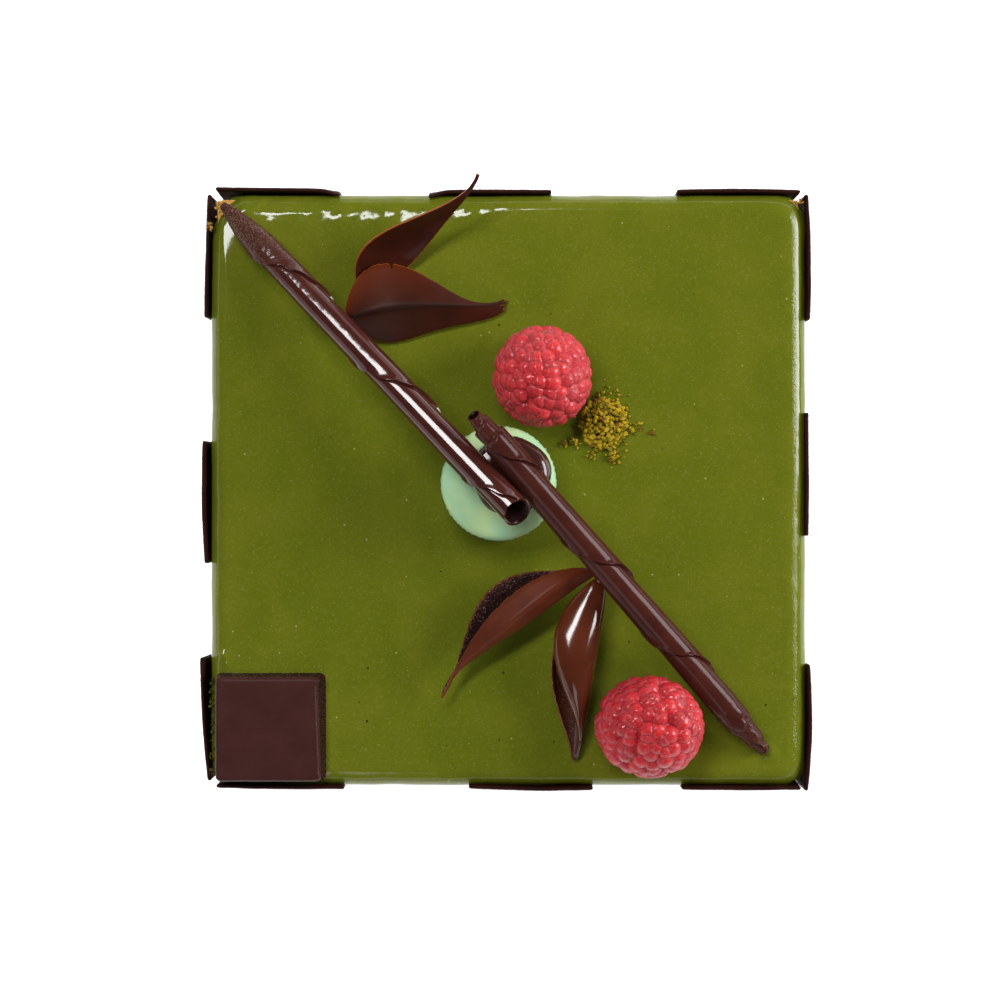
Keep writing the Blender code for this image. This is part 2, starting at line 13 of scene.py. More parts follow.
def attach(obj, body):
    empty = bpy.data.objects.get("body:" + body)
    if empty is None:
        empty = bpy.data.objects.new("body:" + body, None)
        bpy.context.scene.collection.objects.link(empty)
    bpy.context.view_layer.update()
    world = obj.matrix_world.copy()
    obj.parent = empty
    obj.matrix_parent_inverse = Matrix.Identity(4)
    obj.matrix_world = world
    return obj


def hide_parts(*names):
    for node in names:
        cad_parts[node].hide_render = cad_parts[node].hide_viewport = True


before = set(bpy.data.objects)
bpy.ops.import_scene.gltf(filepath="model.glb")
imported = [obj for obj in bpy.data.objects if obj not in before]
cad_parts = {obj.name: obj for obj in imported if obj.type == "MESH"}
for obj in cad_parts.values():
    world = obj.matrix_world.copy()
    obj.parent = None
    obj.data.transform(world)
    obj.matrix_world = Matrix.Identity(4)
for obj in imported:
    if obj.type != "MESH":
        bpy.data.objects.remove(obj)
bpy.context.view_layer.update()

MM = 0.001

# Camera: straight above, at the distance that fits the toppings' perspective.
CAMERA_AT = (-1.895, -2.606, 835.0)
SENSOR_WIDTH = 36.0
VIEW_WIDTH_AT_GLAZE = 236.9
CAMERA_ABOVE_GLAZE = 800.0

# Cake body.
TOP = 35.0
COAT_CENTRE = (-0.11, -0.10)
COAT_HALF = (70.42, 70.05)
CORNER_RADII = (5.5, 3.6, 3.4, 4.2)
RIM_WIDTH = 4.4
RIM_DROP = 4.2
HEM = 2.4
SIDE_THICK = 0.65
TOP_THICK = 2.0

# Bubbles, folds and places where the glaze is drawn up: x, y, half widths and height.
# The last four are the collar round the tile.
GLAZE_BUMPS = (
    (-52.9, 68.1, 1.6, 1.4, 0.30), (-51.0, 65.3, 5.0, 0.55, 0.16), (-67.8, -39.4, 1.1, 0.8, 0.45),
    (61.6, -62.6, 2.0, 1.6, 0.75), (57.2, -57.4, 1.3, 1.0, 0.55), (0.1, 44.2, 1.9, 1.5, 0.30),
    (-66.6, -41.6, 0.8, 0.8, 0.35), (64.5, -43.2, 1.2, 0.9, 0.14), (66.0, -22.0, 1.4, 1.0, 0.16),
    (-60.0, -42.7, 6.0, 0.7, 0.30), (-49.0, -42.4, 4.0, 0.6, 0.24),
    (-42.3, -50.0, 0.6, 3.6, 0.26), (-42.1, -61.0, 0.7, 5.0, 0.30),
)
# Pinholes in the glaze, drawn as small raised dots whose dark colour is painted shade: x, y and radius.
PINHOLES = (
    (-15.9, -19.5, 0.22), (-1.1, -43.5, 0.30), (-2.1, -59.5, 0.22), (10.9, -59.9, 0.22), (-14.5, -60.9, 0.2),
    (-33.2, -42.4, 0.28), (-35.2, -50.5, 0.22), (-33.4, -55.0, 0.34), (28.7, -36.2, 0.26), (43.3, -69.0, 0.3),
    (61.1, -51.1, 0.28), (-2.1, 38.9, 0.26), (10.2, 41.5, 0.18), (36.6, 9.5, 0.16), (-42.0, 12.4, 0.16),
    (44.1, 46.2, 0.15),
)
PINHOLE_RISE = 0.12
BEAD_RISE = 0.5

# Plaques, at the same places as their solids: side, span along the side, and how far
# out the top of the outer face is at its start, middle and end.
PLAQUE_THICK = 1.1
PLAQUE_FOOT = 0.6
PLAQUE_TOP = 34.6
PLAQUE_FOOT_OUT = {"north": 71.05, "south": 71.05, "east": 71.35, "west": 71.35}
PLAQUES = {
    "plaque_north_1": ("north", (-69.3, -40.0), (71.8, 71.6, 71.4)),
    "plaque_north_2": ("north", (-18.8, 10.3), (71.05, 71.2, 71.1)),
    "plaque_north_3": ("north", (40.1, 69.3), (71.1, 71.4, 71.05)),
    "plaque_east_1": ("east", (69.8, 40.1), (71.4, 72.0, 71.8)),
    "plaque_east_2": ("east", (18.1, -11.1), (71.4, 71.5, 71.5)),
    "plaque_east_3": ("east", (-41.6, -71.5), (71.8, 72.3, 71.3)),
    "plaque_south_1": ("south", (-69.1, -38.9), (71.0, 71.3, 71.3)),
    "plaque_south_2": ("south", (-9.3, 20.1), (71.1, 71.7, 71.5)),
    "plaque_south_3": ("south", (41.2, 69.4), (71.4, 71.6, 71.5)),
    "plaque_west_1": ("west", (69.8, 40.7), (71.4, 71.9, 72.2)),
    "plaque_west_2": ("west", (11.4, -17.6), (72.6, 72.8, 72.1)),
    "plaque_west_3": ("west", (-40.0, -69.1), (73.2, 72.7, 71.4)),
}
# Plaques with a curled end, and where along the span that end is.
CURLED_ENDS = {"plaque_north_1": 1.0, "plaque_north_2": 0.0}

# Corner tile, and macaron with the chocolate on it.
TILE_CENTRE = (-56.0, -56.3)
TILE_SIZE = (26.2, 25.9, 5.0)
TILE_RADII = (1.3, 1.6, 1.8, 1.5)
TILE_BEVEL = 1.05
TILE_GAP = 0.3
MACARON_CENTRE = (-2.2, 1.3)
MACARON_RADIUS = 13.8
SHELL_HEIGHT = 5.6
FILLING_HEIGHT = 2.7
SHELL_LOW_FOOT = TOP + 0.3 + SHELL_HEIGHT
SHELL_HIGH_FOOT = SHELL_LOW_FOOT + FILLING_HEIGHT + 0.4
DAB_CENTRE = (0.7, 3.2)
DAB_RADIUS = 9.2

# Rolled sticks: tip and raised end of the axis above the glaze, and where the seam
# crosses the upper side, measured along the axis from the tip.
STICK_RADIUS = 3.5
STICK_STEP = 0.55
STICK_1 = {"tip": (-67.5, 67.2, 1.6), "end": (2.0, -5.5, 22.7), "seams": (-14.0, 22.6, 59.7, 97.3, 134.0),
           "over": 1, "slant": 1.8, "bore": 2.5, "bore_depth": 7.0, "ragged": 0.5,
           "taper_at": (0.0, 1.2, 4.7, 8.3, 11.8, 15.4), "taper": (0.17, 0.34, 0.60, 0.79, 0.92, 1.0)}
STICK_2 = {"tip": (60.8, -62.0, 1.6), "end": (-8.0, 16.8, 24.0), "seams": (3.0, 32.6, 61.9, 95.0, 126.0),
           "over": -1, "slant": 0.5, "bore": 1.3, "bore_depth": 4.0, "ragged": 0.9,
           "taper_at": (0.0, 0.6, 3.0, 4.6, 8.6, 10.4, 16.0), "taper": (0.25, 0.42, 0.46, 0.66, 0.74, 0.90, 1.0)}
STEPPED_AT = (0.0, 0.3, 2.3, 2.8, 6.6, 7.2)
STEPPED = (0.42, 0.48, 0.50, 0.70, 0.74, 1.0)

# Leaves: guide curves from base to tip, laid side by side across the sheet.
LEAF_1 = (
    ((-35.4, 47.2, 2.2), (-38.5, 56.9, 9.1), (-32.5, 62.7, 12.1), (-9.6, 63.4, 13.2), (-7.3, 73.4, 16.8)),
    ((-33.4, 46.6, 1.1), (-28.2, 56.1, 1.7), (-25.3, 63.0, 8.4), (-10.5, 63.3, 13.5), (-6.9, 73.1, 16.7)),
    ((-31.0, 46.8, 1.0), (-19.3, 53.3, 1.3), (-15.1, 65.2, 8.2), (-11.8, 63.5, 12.2), (-6.5, 72.8, 16.6)),
)
LEAF_2 = (
    ((-38.3, 41.6, 5.2), (-35.0, 63.9, 3.8), (-15.1, 50.9, 7.1), (-11.9, 38.8, 4.1), (0.0, 45.5, 1.2)),
    ((-37.6, 40.2, 5.9), (-29.6, 43.0, 12.0), (-17.3, 44.6, 8.8), (-9.8, 42.1, 3.5), (-0.2, 44.2, 1.2)),
    ((-36.5, 38.6, 4.6), (-23.4, 27.6, -3.4), (-22.3, 43.1, 4.9), (-5.9, 36.4, 0.2), (-0.6, 42.6, 1.1)),
)
LEAF_3 = (
    ((19.7, -18.9, 8.6), (9.4, -16.2, 12.9), (-6.3, -25.8, 10.5), (-10.2, -38.5, 7.4), (-15.7, -49.1, 6.0)),
    ((20.4, -19.1, 8.8), (7.9, -20.0, 14.6), (2.5, -36.0, 14.9), (-11.9, -36.0, 5.7), (-15.6, -49.1, 5.8)),
    ((21.1, -19.8, 8.1), (10.8, -25.0, 10.2), (4.2, -36.4, 7.1), (-12.0, -37.0, 6.8), (-15.5, -49.2, 5.6)),
    ((20.5, -19.7, 7.2), (8.4, -24.2, 5.1), (-2.3, -27.5, -0.6), (-10.9, -38.8, 7.8), (-15.6, -49.2, 5.4)),
    ((19.5, -19.2, 6.9), (2.8, -19.7, 3.4), (-11.7, -14.7, 15.2), (-8.7, -41.7, 3.0), (-15.7, -49.1, 5.2)),
)
LEAF_4 = (
    ((20.9, -21.2, 7.2), (9.4, -29.6, 8.0), (4.5, -41.0, 11.0), (22.0, -53.1, 7.5), (16.2, -64.0, 1.5)),
    ((21.8, -20.9, 7.5), (15.7, -29.7, 9.5), (14.3, -43.0, 16.0), (19.7, -53.0, 8.5), (15.9, -64.1, 1.3)),
    ((22.7, -21.5, 7.0), (22.8, -31.1, 7.0), (19.4, -42.8, 9.5), (19.0, -53.3, 5.0), (15.6, -64.2, 1.2)),
    ((22.1, -21.6, 6.4), (19.1, -30.7, 1.1), (12.7, -44.4, 1.1), (16.8, -53.4, 2.2), (15.3, -64.2, 1.1)),
    ((21.2, -21.7, 6.2), (11.3, -30.7, 5.0), (4.0, -43.8, 8.2), (14.4, -53.1, 1.7), (15.0, -64.1, 1.1)),
)
# Each leaf: its guides, how nearly flat its flanks are, how far its first edge flares,
# where that edge is nicked, how rough its broken end is, how dull its inside is and how dark it is painted there as
# shade, how strongly its first flank is painted lighter and orange as lit, and how dark its fold is painted as
# shade.
LEAVES = (
    {"guides": LEAF_1, "flat": 0.0, "flare": 0.0, "nick": None, "ragged": 0.004, "dull": 0.0,
     "warm": 0.0, "fold": 0.0},
    {"guides": LEAF_2, "flat": 0.95, "flare": 0.0, "nick": 0.32, "ragged": 0.03, "dull": 0.0,
     "warm": 0.75, "fold": 1.0},
    {"guides": LEAF_3, "flat": 1.0, "flare": 0.0, "nick": None, "ragged": 0.01, "dull": 1.0,
     "warm": 0.4, "fold": 0.0},
    {"guides": LEAF_4, "flat": 0.15, "flare": 0.55, "nick": None, "ragged": 0.02, "dull": 0.4,
     "warm": 0.5, "fold": 0.0},
)
CREASE = 0.018
LEAF_THICK = 0.6

# Berries: centre on the glaze, half sizes, lean of the tip in degrees.
BERRY_1 = ((8.0, 26.3), (11.8, 12.2, 10.2), (0.0, 0.0))
BERRY_2 = ((33.1, -55.7), (13.1, 12.3, 10.1), (-16.0, -14.0))
BERRY_REACH = 122.0
DRUPELET_COUNT = 138
DRUPELET = 2.65

# Chopped pistachio.
HEAP_CENTRE = (22.6, 15.4)
HEAP_HALF = (5.6, 6.1, 1.9)
# Small side heaps of crumbs: x, y, how many and how far they scatter.
CRUMB_SPOTS = (
    (25.0, 7.6, 44, 0.75), (13.6, 10.7, 12, 0.5), (16.5, 11.0, 10, 0.7), (19.8, 8.1, 7, 0.5),
    (25.7, 23.3, 4, 0.4), (27.0, 19.4, 4, 0.4), (28.4, 19.2, 3, 0.3), (29.4, 14.0, 3, 0.4),
    (30.9, 15.2, 4, 0.5), (34.5, 13.5, 6, 0.4), (19.0, 20.6, 5, 0.5), (22.4, 22.6, 6, 0.6),
)
HEAP_GRAINS = 760
STRAY_GRAINS = 70
GAP_GRAINS = 80

# Sponge crumbs at the worn corners: x, y, height above the sponge, half spreads and how many.
WORN_SPOTS = (
    (-68.4, 66.4, 0.0, 0.9, 2.2, 34), (69.0, 68.1, 0.0, 1.0, 0.8, 16), (-70.6, 62.4, 1.6, 0.6, 1.0, 14),
)

# Studio. Each softbox: azimuth and elevation in degrees (0 is +X and 90 is +Y), distance
# and sizes in metres, and radiance.
SOFTBOXES = {
    "right_box": (14, 25, 1.3, (0.56, 0.64), 14.0),
    "low_card": (250, 44, 1.3, (0.45, 0.52), 1.8),
    "wall_70": (70, 12, 1.6, (1.7, 0.55), 1.0),
    "wall_130": (130, 12, 1.6, (1.7, 0.55), 1.0),
    "wall_190": (190, 12, 1.6, (1.7, 0.55), 1.0),
    "wall_250": (250, 12, 1.6, (1.7, 0.55), 1.0),
    "wall_310": (310, 12, 1.6, (1.7, 0.55), 1.0),
}
KEY_WAY = (-0.300, 0.420, 1.0)
WORLD_STRENGTH = 0.03
PAPER_GLOW = 0.95


# Shader maths

class Wire:
    """A shader socket. Sums and products of wires add Math nodes to the tree."""

    def __init__(self, finish, socket):
        self.finish = finish
        self.socket = socket

    def math(self, operation, *terms):
        return self.finish.node("ShaderNodeMath", {"operation": operation}, dict(enumerate(terms)))

    def __add__(self, other):
        return self.math("ADD", self, other)

    def __radd__(self, other):
        return self.math("ADD", other, self)

    def __sub__(self, other):
        return self.math("SUBTRACT", self, other)

    def __rsub__(self, other):
        return self.math("SUBTRACT", other, self)

    def __mul__(self, other):
        return self.math("MULTIPLY", self, other)

    def __rmul__(self, other):
        return self.math("MULTIPLY", other, self)

    def ramp(self, start, end, low=0.0, high=1.0):
        """This value spread smoothly from low to high between start and end."""
        return self.finish.node("ShaderNodeMapRange", {"interpolation_type": "SMOOTHSTEP"},
                                {"Value": self, "From Min": start, "From Max": end, "To Min": low, "To Max": high})


class Finish:
    """A material, with one method that adds any node to its tree. Its settings name sockets of the shader."""

    def __init__(self, name, **settings):
        self.material = bpy.data.materials.new(name)
        self.material.use_nodes = True
        self.tree = self.material.node_tree
        self.shader = self.tree.nodes["Principled BSDF"]
        for label, value in settings.items():
            self.shader.inputs[label.replace("_", " ")].default_value = value
        self.place = self.node("ShaderNodeTexCoord", out="Object")

    def node(self, kind, settings=None, values=None, out=0):
        node = self.tree.nodes.new(kind)
        for name, value in (settings or {}).items():
            setattr(node, name, value)
        for key, value in (values or {}).items():
            self.feed(node.inputs[key], value)
        return Wire(self, node.outputs[out])

    def feed(self, socket, value):
        if isinstance(value, Wire):
            self.tree.links.new(value.socket, socket)
        else:
            socket.default_value = value

    def noise(self, size, detail=2.0, rough=0.5, place=None, warp=0.0):
        """Cloudy noise from 0 to 1 whose blobs are about size millimetres wide."""
        return self.node("ShaderNodeTexNoise", None,
                         {"Vector": place or self.place, "Scale": 1.0 / (size * MM), "Detail": detail,
                          "Roughness": rough, "Distortion": warp})

    def cells(self, size):
        """Distance in a cell pattern whose cells are about size millimetres wide."""
        values = {"Vector": self.place, "Scale": 1.0 / (size * MM)}
        return self.node("ShaderNodeTexVoronoi", None, values, out="Distance")

    def attribute(self, name):
        return self.node("ShaderNodeAttribute", {"attribute_name": name}, out="Fac")

    def blend(self, share, first, second):
        """first where share is 0 and second where it is 1."""
        colours = [(*c, 1.0) if isinstance(c, tuple) else c for c in (first, second)]
        return self.node("ShaderNodeMix", {"data_type": "RGBA"}, {0: share, 6: colours[0], 7: colours[1]}, out=2)

    def set(self, label, value):
        self.feed(self.shader.inputs[label], value)

    def bump(self, height, depth, normal=None):
        """Relief of depth millimetres where height goes from 0 to 1, on top of another if given."""
        values = {"Height": height, "Distance": depth * MM, "Strength": 1.0}
        if normal is not None:
            values["Normal"] = normal
        return self.node("ShaderNodeBump", None, values)


def finish_glaze():
    """Mirror glaze: cloudy green with pale dust, tiny bubbles, and a grainy edge to the glare on the right rim."""
    f = Finish("green_glaze", Roughness=0.07, IOR=1.45)
    cloud = f.noise(16.0, 3.0, 0.55, warp=0.4)
    fine = f.noise(1.1, 3.0, 0.6)
    dust = f.noise(0.42, 1.0, 0.5)
    speck = f.cells(5.5)
    colour = f.blend(cloud.ramp(0.3, 0.7), (0.114, 0.140, 0.0064), (0.140, 0.158, 0.0088))
    colour = f.blend(fine.ramp(0.45, 0.8, 0.0, 0.35), colour, (0.185, 0.195, 0.022))
    colour = f.blend(dust.ramp(0.62, 0.78, 0.0, 0.55), colour, (0.245, 0.255, 0.060))
    colour = f.blend(dust.ramp(0.36, 0.24, 0.0, 0.35), colour, (0.070, 0.085, 0.006))
    colour = f.blend(speck.ramp(0.05, 0.035), colour, (0.30, 0.31, 0.10))
    f.set("Base Color", colour)
    f.set("Roughness", 0.07 + 0.05 * fine)
    along_x = f.node("ShaderNodeSeparateXYZ", None, {"Vector": f.place})
    on_rim = along_x.ramp(0.0668, 0.0675) * along_x.ramp(0.0688, 0.0681)
    relief = f.bump((f.noise(0.45, 2.0, 0.6) - 0.5) * on_rim, 0.09, normal=f.bump(f.noise(9.0, 1.0), 0.02))
    f.set("Normal", f.bump(dust, 0.006, normal=relief))
    return f.material


def finish_sponge():
    """Baked crumb with open pores, whose hollows are painted darker as shade."""
    f = Finish("sponge", Roughness=0.85, IOR=1.35)
    pores = f.cells(1.1)
    crumb = f.noise(0.5, 3.0, 0.7)
    colour = f.blend(crumb.ramp(0.3, 0.7), (0.52, 0.25, 0.045), (0.74, 0.44, 0.11))
    # Painted shade: the pore hollows are coloured darker.
    colour = f.blend(pores.ramp(0.30, 0.05), colour, (0.30, 0.12, 0.02))
    f.set("Base Color", colour)
    f.set("Normal", f.bump(pores.ramp(0.0, 0.4) + 0.5 * crumb, 0.35))
    return f.material


def finish_chocolate(name, base, glow, gloss, grain, scratch=0.0, rolled=False, sheen=0.5, coat=0.0):
    """Tempered chocolate: base and a warmer glow colour, a gloss roughness and a fine grain in millimetres.

    A rolled piece is also dusty where its worn attribute says so, painted dark as shade where it lines the bore,
    and has a coat that is broken into dots where dotted does.
    """
    f = Finish(name, Roughness=gloss, IOR=1.5, Specular_IOR_Level=sheen, Coat_Roughness=0.09)
    cloud = f.noise(7.0, 3.0, 0.6)
    fine = f.noise(0.35, 3.0, 0.65)
    colour = f.blend(cloud.ramp(0.3, 0.75), base, glow)
    rough = gloss + 0.05 * cloud
    normal = f.bump(f.noise(0.30, 4.0, 0.7), grain)
    if rolled:
        worn = f.attribute("worn")
        speckle = f.noise(0.32, 2.0, 0.7)
        colour = f.blend(worn, colour, (0.054, 0.0150, 0.0085))
        colour = f.blend(worn * speckle.ramp(0.50, 0.64), colour, (0.20, 0.115, 0.075))
        hollow = f.attribute("hollow")
        # Painted shade: the lining of the bore is coloured dark.
        colour = f.blend(hollow, colour, (0.012, 0.004, 0.0035))
        dots = 1 - f.attribute("dotted") * speckle.ramp(0.56, 0.44)
        f.set("Coat Weight", coat * (1 - worn) * (1 - hollow) * dots)
        rough = rough + worn * 0.30
        normal = f.bump(speckle * worn, 0.24, normal=normal)
    if scratch:
        stretched = f.node("ShaderNodeMapping", None,
                           {"Vector": f.place, "Rotation": (0.0, 0.0, 0.8), "Scale": (1.0, 0.12, 1.0)})
        normal = f.bump(f.noise(0.6, 3.0, 0.6, place=stretched), scratch, normal=normal)
    f.set("Base Color", colour)
    f.set("Roughness", rough + 0.03 * fine)
    f.set("Normal", normal)
    return f.material


def finish_tile():
    """Moulded chocolate, satin on top, and wet and rough on the walls, whose colour is painted darker than the top
    as shade.
    """
    f = Finish("tile_chocolate", IOR=1.5, Specular_IOR_Level=0.13)
    wall = f.attribute("wall")
    cloud = f.noise(7.0, 3.0, 0.6)
    grain = f.noise(0.30, 4.0, 0.7)
    chip = f.noise(0.7, 3.0, 0.7)
    colour = f.blend(cloud.ramp(0.3, 0.75), (0.044, 0.0125, 0.0105), (0.054, 0.0155, 0.0125))
    colour = f.blend(grain.ramp(0.62, 0.8, 0.0, 0.25), colour, (0.085, 0.032, 0.025))
    # Painted shade: the walls are coloured darker than the top of the same chocolate.
    colour = f.blend(wall, colour, (0.022, 0.0034, 0.0028))
    colour = f.blend(wall * chip.ramp(0.62, 0.74), colour, (0.13, 0.042, 0.030))
    f.set("Base Color", colour)
    f.set("Roughness", 0.38 + 0.05 * cloud - 0.27 * wall * chip.ramp(0.42, 0.60))
    f.set("Normal", f.bump(chip * wall, 0.60, normal=f.bump(grain, 0.012)))
    return f.material


def finish_dark_speck():
    """The shaded inside of a pinhole."""
    f = Finish("pinhole_dark", Roughness=0.6, Specular_IOR_Level=0.05)
    # Painted shade: the dots are coloured dark where a pinhole's hollow would be shaded.
    f.set("Base Color", f.blend(f.noise(0.3), (0.026, 0.028, 0.003), (0.044, 0.046, 0.004)))
    return f.material


def finish_leaf(name, base, glow, gloss, sheen, rim_glow):
    """Thin chocolate sheet: painted orange along the rim where light would come through, its first flank painted
    lighter and orange as lit, its fold painted dark as shade, and dull and speckled on the inside of a curl, which
    is also painted darker as shade.
    """
    f = Finish(name, IOR=1.5, Specular_IOR_Level=sheen)
    cloud = f.noise(8.0, 3.0, 0.6)
    speckle = f.noise(0.40, 2.0, 0.7)
    rim = f.attribute("rim")
    warm = f.attribute("warm")
    inner = f.attribute("inner")
    fold = f.attribute("fold")
    colour = f.blend(cloud.ramp(0.3, 0.75), base, glow)
    # Painted light: the first flank is coloured lighter and orange, as if lit.
    colour = f.blend(warm, colour, (0.185, 0.030, 0.005))
    # Painted shade: the fold is coloured dark.
    colour = f.blend(fold * 0.7, colour, (0.012, 0.004, 0.003))
    # Painted shade, in part: the inside of a curl is coloured darker; its dull speckled finish is real.
    colour = f.blend(inner, colour, (0.026, 0.010, 0.010))
    colour = f.blend(inner * speckle.ramp(0.56, 0.66), colour, (0.24, 0.13, 0.10))
    colour = f.blend(rim.ramp(0.25, 0.95, 0.0, rim_glow), colour, (0.34, 0.080, 0.012))
    f.set("Base Color", colour)
    f.set("Roughness", gloss + 0.05 * cloud + 0.25 * inner + 0.35 * fold)
    f.set("Normal", f.bump(speckle * (0.02 + inner), 0.10))
    return f.material


def finish_shell():
    """Pale green macaron shell, with a rougher foot."""
    f = Finish("macaron_shell", Roughness=0.55, IOR=1.4)
    cloud = f.noise(9.0, 2.0, 0.5)
    grain = f.noise(0.30, 3.0, 0.7)
    foot = f.attribute("foot")
    colour = f.blend(cloud.ramp(0.35, 0.7), (0.36, 0.62, 0.36), (0.50, 0.68, 0.33))
    colour = f.blend(foot, colour, (0.30, 0.52, 0.34))
    f.set("Base Color", colour)
    f.set("Normal", f.bump(grain + 0.6 * foot * f.noise(0.7, 3.0), 0.05))
    return f.material


def finish_filling():
    """Cream between the shells."""
    f = Finish("macaron_filling", Roughness=0.5, IOR=1.4)
    cloud = f.noise(1.5, 3.0, 0.6)
    f.set("Base Color", f.blend(cloud.ramp(0.3, 0.7), (0.32, 0.42, 0.20), (0.44, 0.54, 0.28)))
    f.set("Normal", f.bump(cloud, 0.15))
    return f.material


def finish_berry(name, deep, bright, side_shade_colour):
    """Red drupelets, vivid on top, painted duller and darker lower down as shade and sheen, pale along their edges
    lower down, painted dark red in the crevices as shade, and wet glints.
    """
    f = Finish(name, IOR=1.4, Subsurface_Weight=0.10, Subsurface_Radius=(1.0, 0.25, 0.2), Subsurface_Scale=0.0012,
               Coat_Roughness=0.05)
    gap = f.attribute("gap")
    tone = f.attribute("tone")
    flank = f.attribute("flank")
    cloud = f.noise(1.6, 2.0, 0.6)
    fine = f.noise(0.32, 3.0, 0.65)
    colour = f.blend(tone * 0.6 + cloud * 0.6 - 0.1, deep, bright)
    # Painted shade and sheen: lower down, the berry is coloured duller and darker.
    colour = f.blend(flank * 0.45, colour, side_shade_colour)
    edge = (gap + 0.5 * fine).ramp(0.80, 0.32)
    colour = f.blend(edge * (0.05 + 0.26 * flank), colour, (0.66, 0.20, 0.22))
    # Painted shade: dark red in the crevices between drupelets.
    colour = f.blend((gap + 0.12 * fine).ramp(0.24, 0.05, 0.0, 0.6), colour, (0.22, 0.004, 0.010))
    colour = f.blend(fine.ramp(0.52, 0.76) * (0.04 + 0.16 * flank), colour, (0.85, 0.38, 0.38))
    f.set("Base Color", colour)
    f.set("Roughness", 0.30 + 0.20 * fine + 0.20 * flank)
    f.set("Coat Weight", 0.55 - 0.45 * flank)
    f.set("Normal", f.bump(0.45 * fine + cloud, 0.45))
    return f.material


def finish_crumbs(name, dark, light, fleck):
    """Chopped pistachio, each grain with its own tint from dark to light, and a few brown."""
    f = Finish(name, Roughness=0.7, IOR=1.4, Specular_IOR_Level=0.25)
    tint = f.attribute("tint")
    fine = f.noise(0.3, 3.0, 0.7)
    colour = f.blend(tint.ramp(0.2, 0.5), dark, light)
    colour = f.blend(tint.ramp(0.86, 0.94), colour, (0.15, 0.055, 0.015))
    colour = f.blend(fine.ramp(0.5, 0.7, 0.0, 0.35), colour, fleck)
    f.set("Base Color", colour)
    f.set("Normal", f.bump(fine, 0.12))
    return f.material


# Mesh helpers

def add_piece(name, points, faces, material, replaced=(), smooth=True):
    """A mesh piece from points in millimetres, riding on the cake."""
    mesh = bpy.data.meshes.new(name)
    mesh.from_pydata((np.asarray(points, dtype=float) * MM).tolist(), [], faces)
    mesh.validate()
    mesh.polygons.foreach_set("use_smooth", [smooth] * len(mesh.polygons))
    mesh.materials.append(material)
    piece = bpy.data.objects.new(name, mesh)
    bpy.context.scene.collection.objects.link(piece)
    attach(piece, "root")
    if replaced:
        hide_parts(*replaced)
    return piece


def face_outward(piece):
    """Turn all normals of a closed piece outward."""
    bm = bmesh.new()
    bm.from_mesh(piece.data)
    bmesh.ops.recalc_face_normals(bm, faces=bm.faces)
    bm.to_mesh(piece.data)
    bm.free()


def write_attribute(piece, name, values):
    """A number at each point for the material. Points past the end of values get 0."""
    values = np.append(values, np.zeros(len(piece.data.vertices) - len(values)))
    layer = piece.data.attributes.new(name, "FLOAT", "POINT")
    layer.data.foreach_set("value", np.asarray(values, dtype=np.float32))


def grid_quads(rows, cols, closed=False, first=0):
    """Quads of a grid of points that is stored row by row, closed round the columns if asked."""
    r = np.arange(rows - 1)[:, None]
    c = np.arange(cols if closed else cols - 1)[None, :]
    n = (c + 1) % cols
    quads = np.stack([r * cols + c, r * cols + n, (r + 1) * cols + n, (r + 1) * cols + c], axis=-1)
    return (quads.reshape(-1, 4) + first).tolist()


def end_fans(rows, count, first_hub, last_hub, first=0):
    """Triangles that close the first and the last ring of a tube, each round its own hub point."""
    last = first + (rows - 1) * count
    return ([(last + k, last + (k + 1) % count, last_hub) for k in range(count)]
            + [(first + (k + 1) % count, first + k, first_hub) for k in range(count)])


def sheet_faces(rows, cols):
    """Faces of a thin sheet: its front points, then as many back points, joined round the border."""
    size = rows * cols
    faces = grid_quads(rows, cols)
    faces += [tuple(reversed([size + v for v in face])) for face in grid_quads(rows, cols)]
    border = list(range(cols)) + [i * cols + cols - 1 for i in range(1, rows)]
    border += [(rows - 1) * cols + j for j in range(cols - 2, -1, -1)] + [i * cols for i in range(rows - 2, 0, -1)]
    return faces + [(b, a, size + a, size + b) for a, b in zip(border, border[1:] + border[:1])]


def smoothed(loop, sweeps):
    """A closed loop with each point pulled halfway to its neighbours, sweeps times."""
    for sweep in range(sweeps):
        loop = 0.5 * loop + 0.25 * (np.roll(loop, 1, axis=0) + np.roll(loop, -1, axis=0))
    return loop


def even_points(line, count, closed=False):
    """count points evenly spaced along a line."""
    line = np.array(line, dtype=float)
    gone = np.concatenate([[0.0], np.cumsum(np.linalg.norm(np.diff(line, axis=0), axis=1))])
    at = np.linspace(0, gone[-1], count, endpoint=not closed)
    return np.stack([np.interp(at, gone, line[:, 0]), np.interp(at, gone, line[:, 1])], axis=1)


def waves(points, size, seed, octaves=2):
    """Smooth noise of about -1 to 1 for rows of points, from sums of sines with seeded directions."""
    rng = np.random.default_rng(seed)
    points = np.asarray(points, dtype=float)
    total = np.zeros(len(points))
    weight = 0.0
    for octave in range(octaves):
        scale = 2 * math.pi / (size / 1.9 ** octave)
        for k in range(6):
            direction = rng.normal(size=points.shape[1])
            direction /= np.linalg.norm(direction)
            phase = rng.uniform(0, 2 * math.pi)
            total += np.sin(points @ direction * scale * rng.uniform(0.7, 1.3) + phase) * 0.6 ** octave
        weight += 6 * 0.6 ** octave * 0.35
    return total / weight


def rounded_outline(half_x, half_y, radii, steps):
    """Corners go round from upper left to upper right, lower right and lower left."""
    signs = ((-1, 1), (1, 1), (1, -1), (-1, -1))
    points = []
    for (sx, sy), radius, start in zip(signs, radii, (180, 90, 0, -90)):
        for k in range(steps + 1):
            angle = math.radians(start - 90 * k / steps)
            points.append((sx * (half_x - radius) + radius * math.cos(angle),
                           sy * (half_y - radius) + radius * math.sin(angle)))
    return points


def resampled(outline, count):
    """count points evenly spaced along a closed outline."""
    return even_points(list(outline) + [outline[0]], count, closed=True)


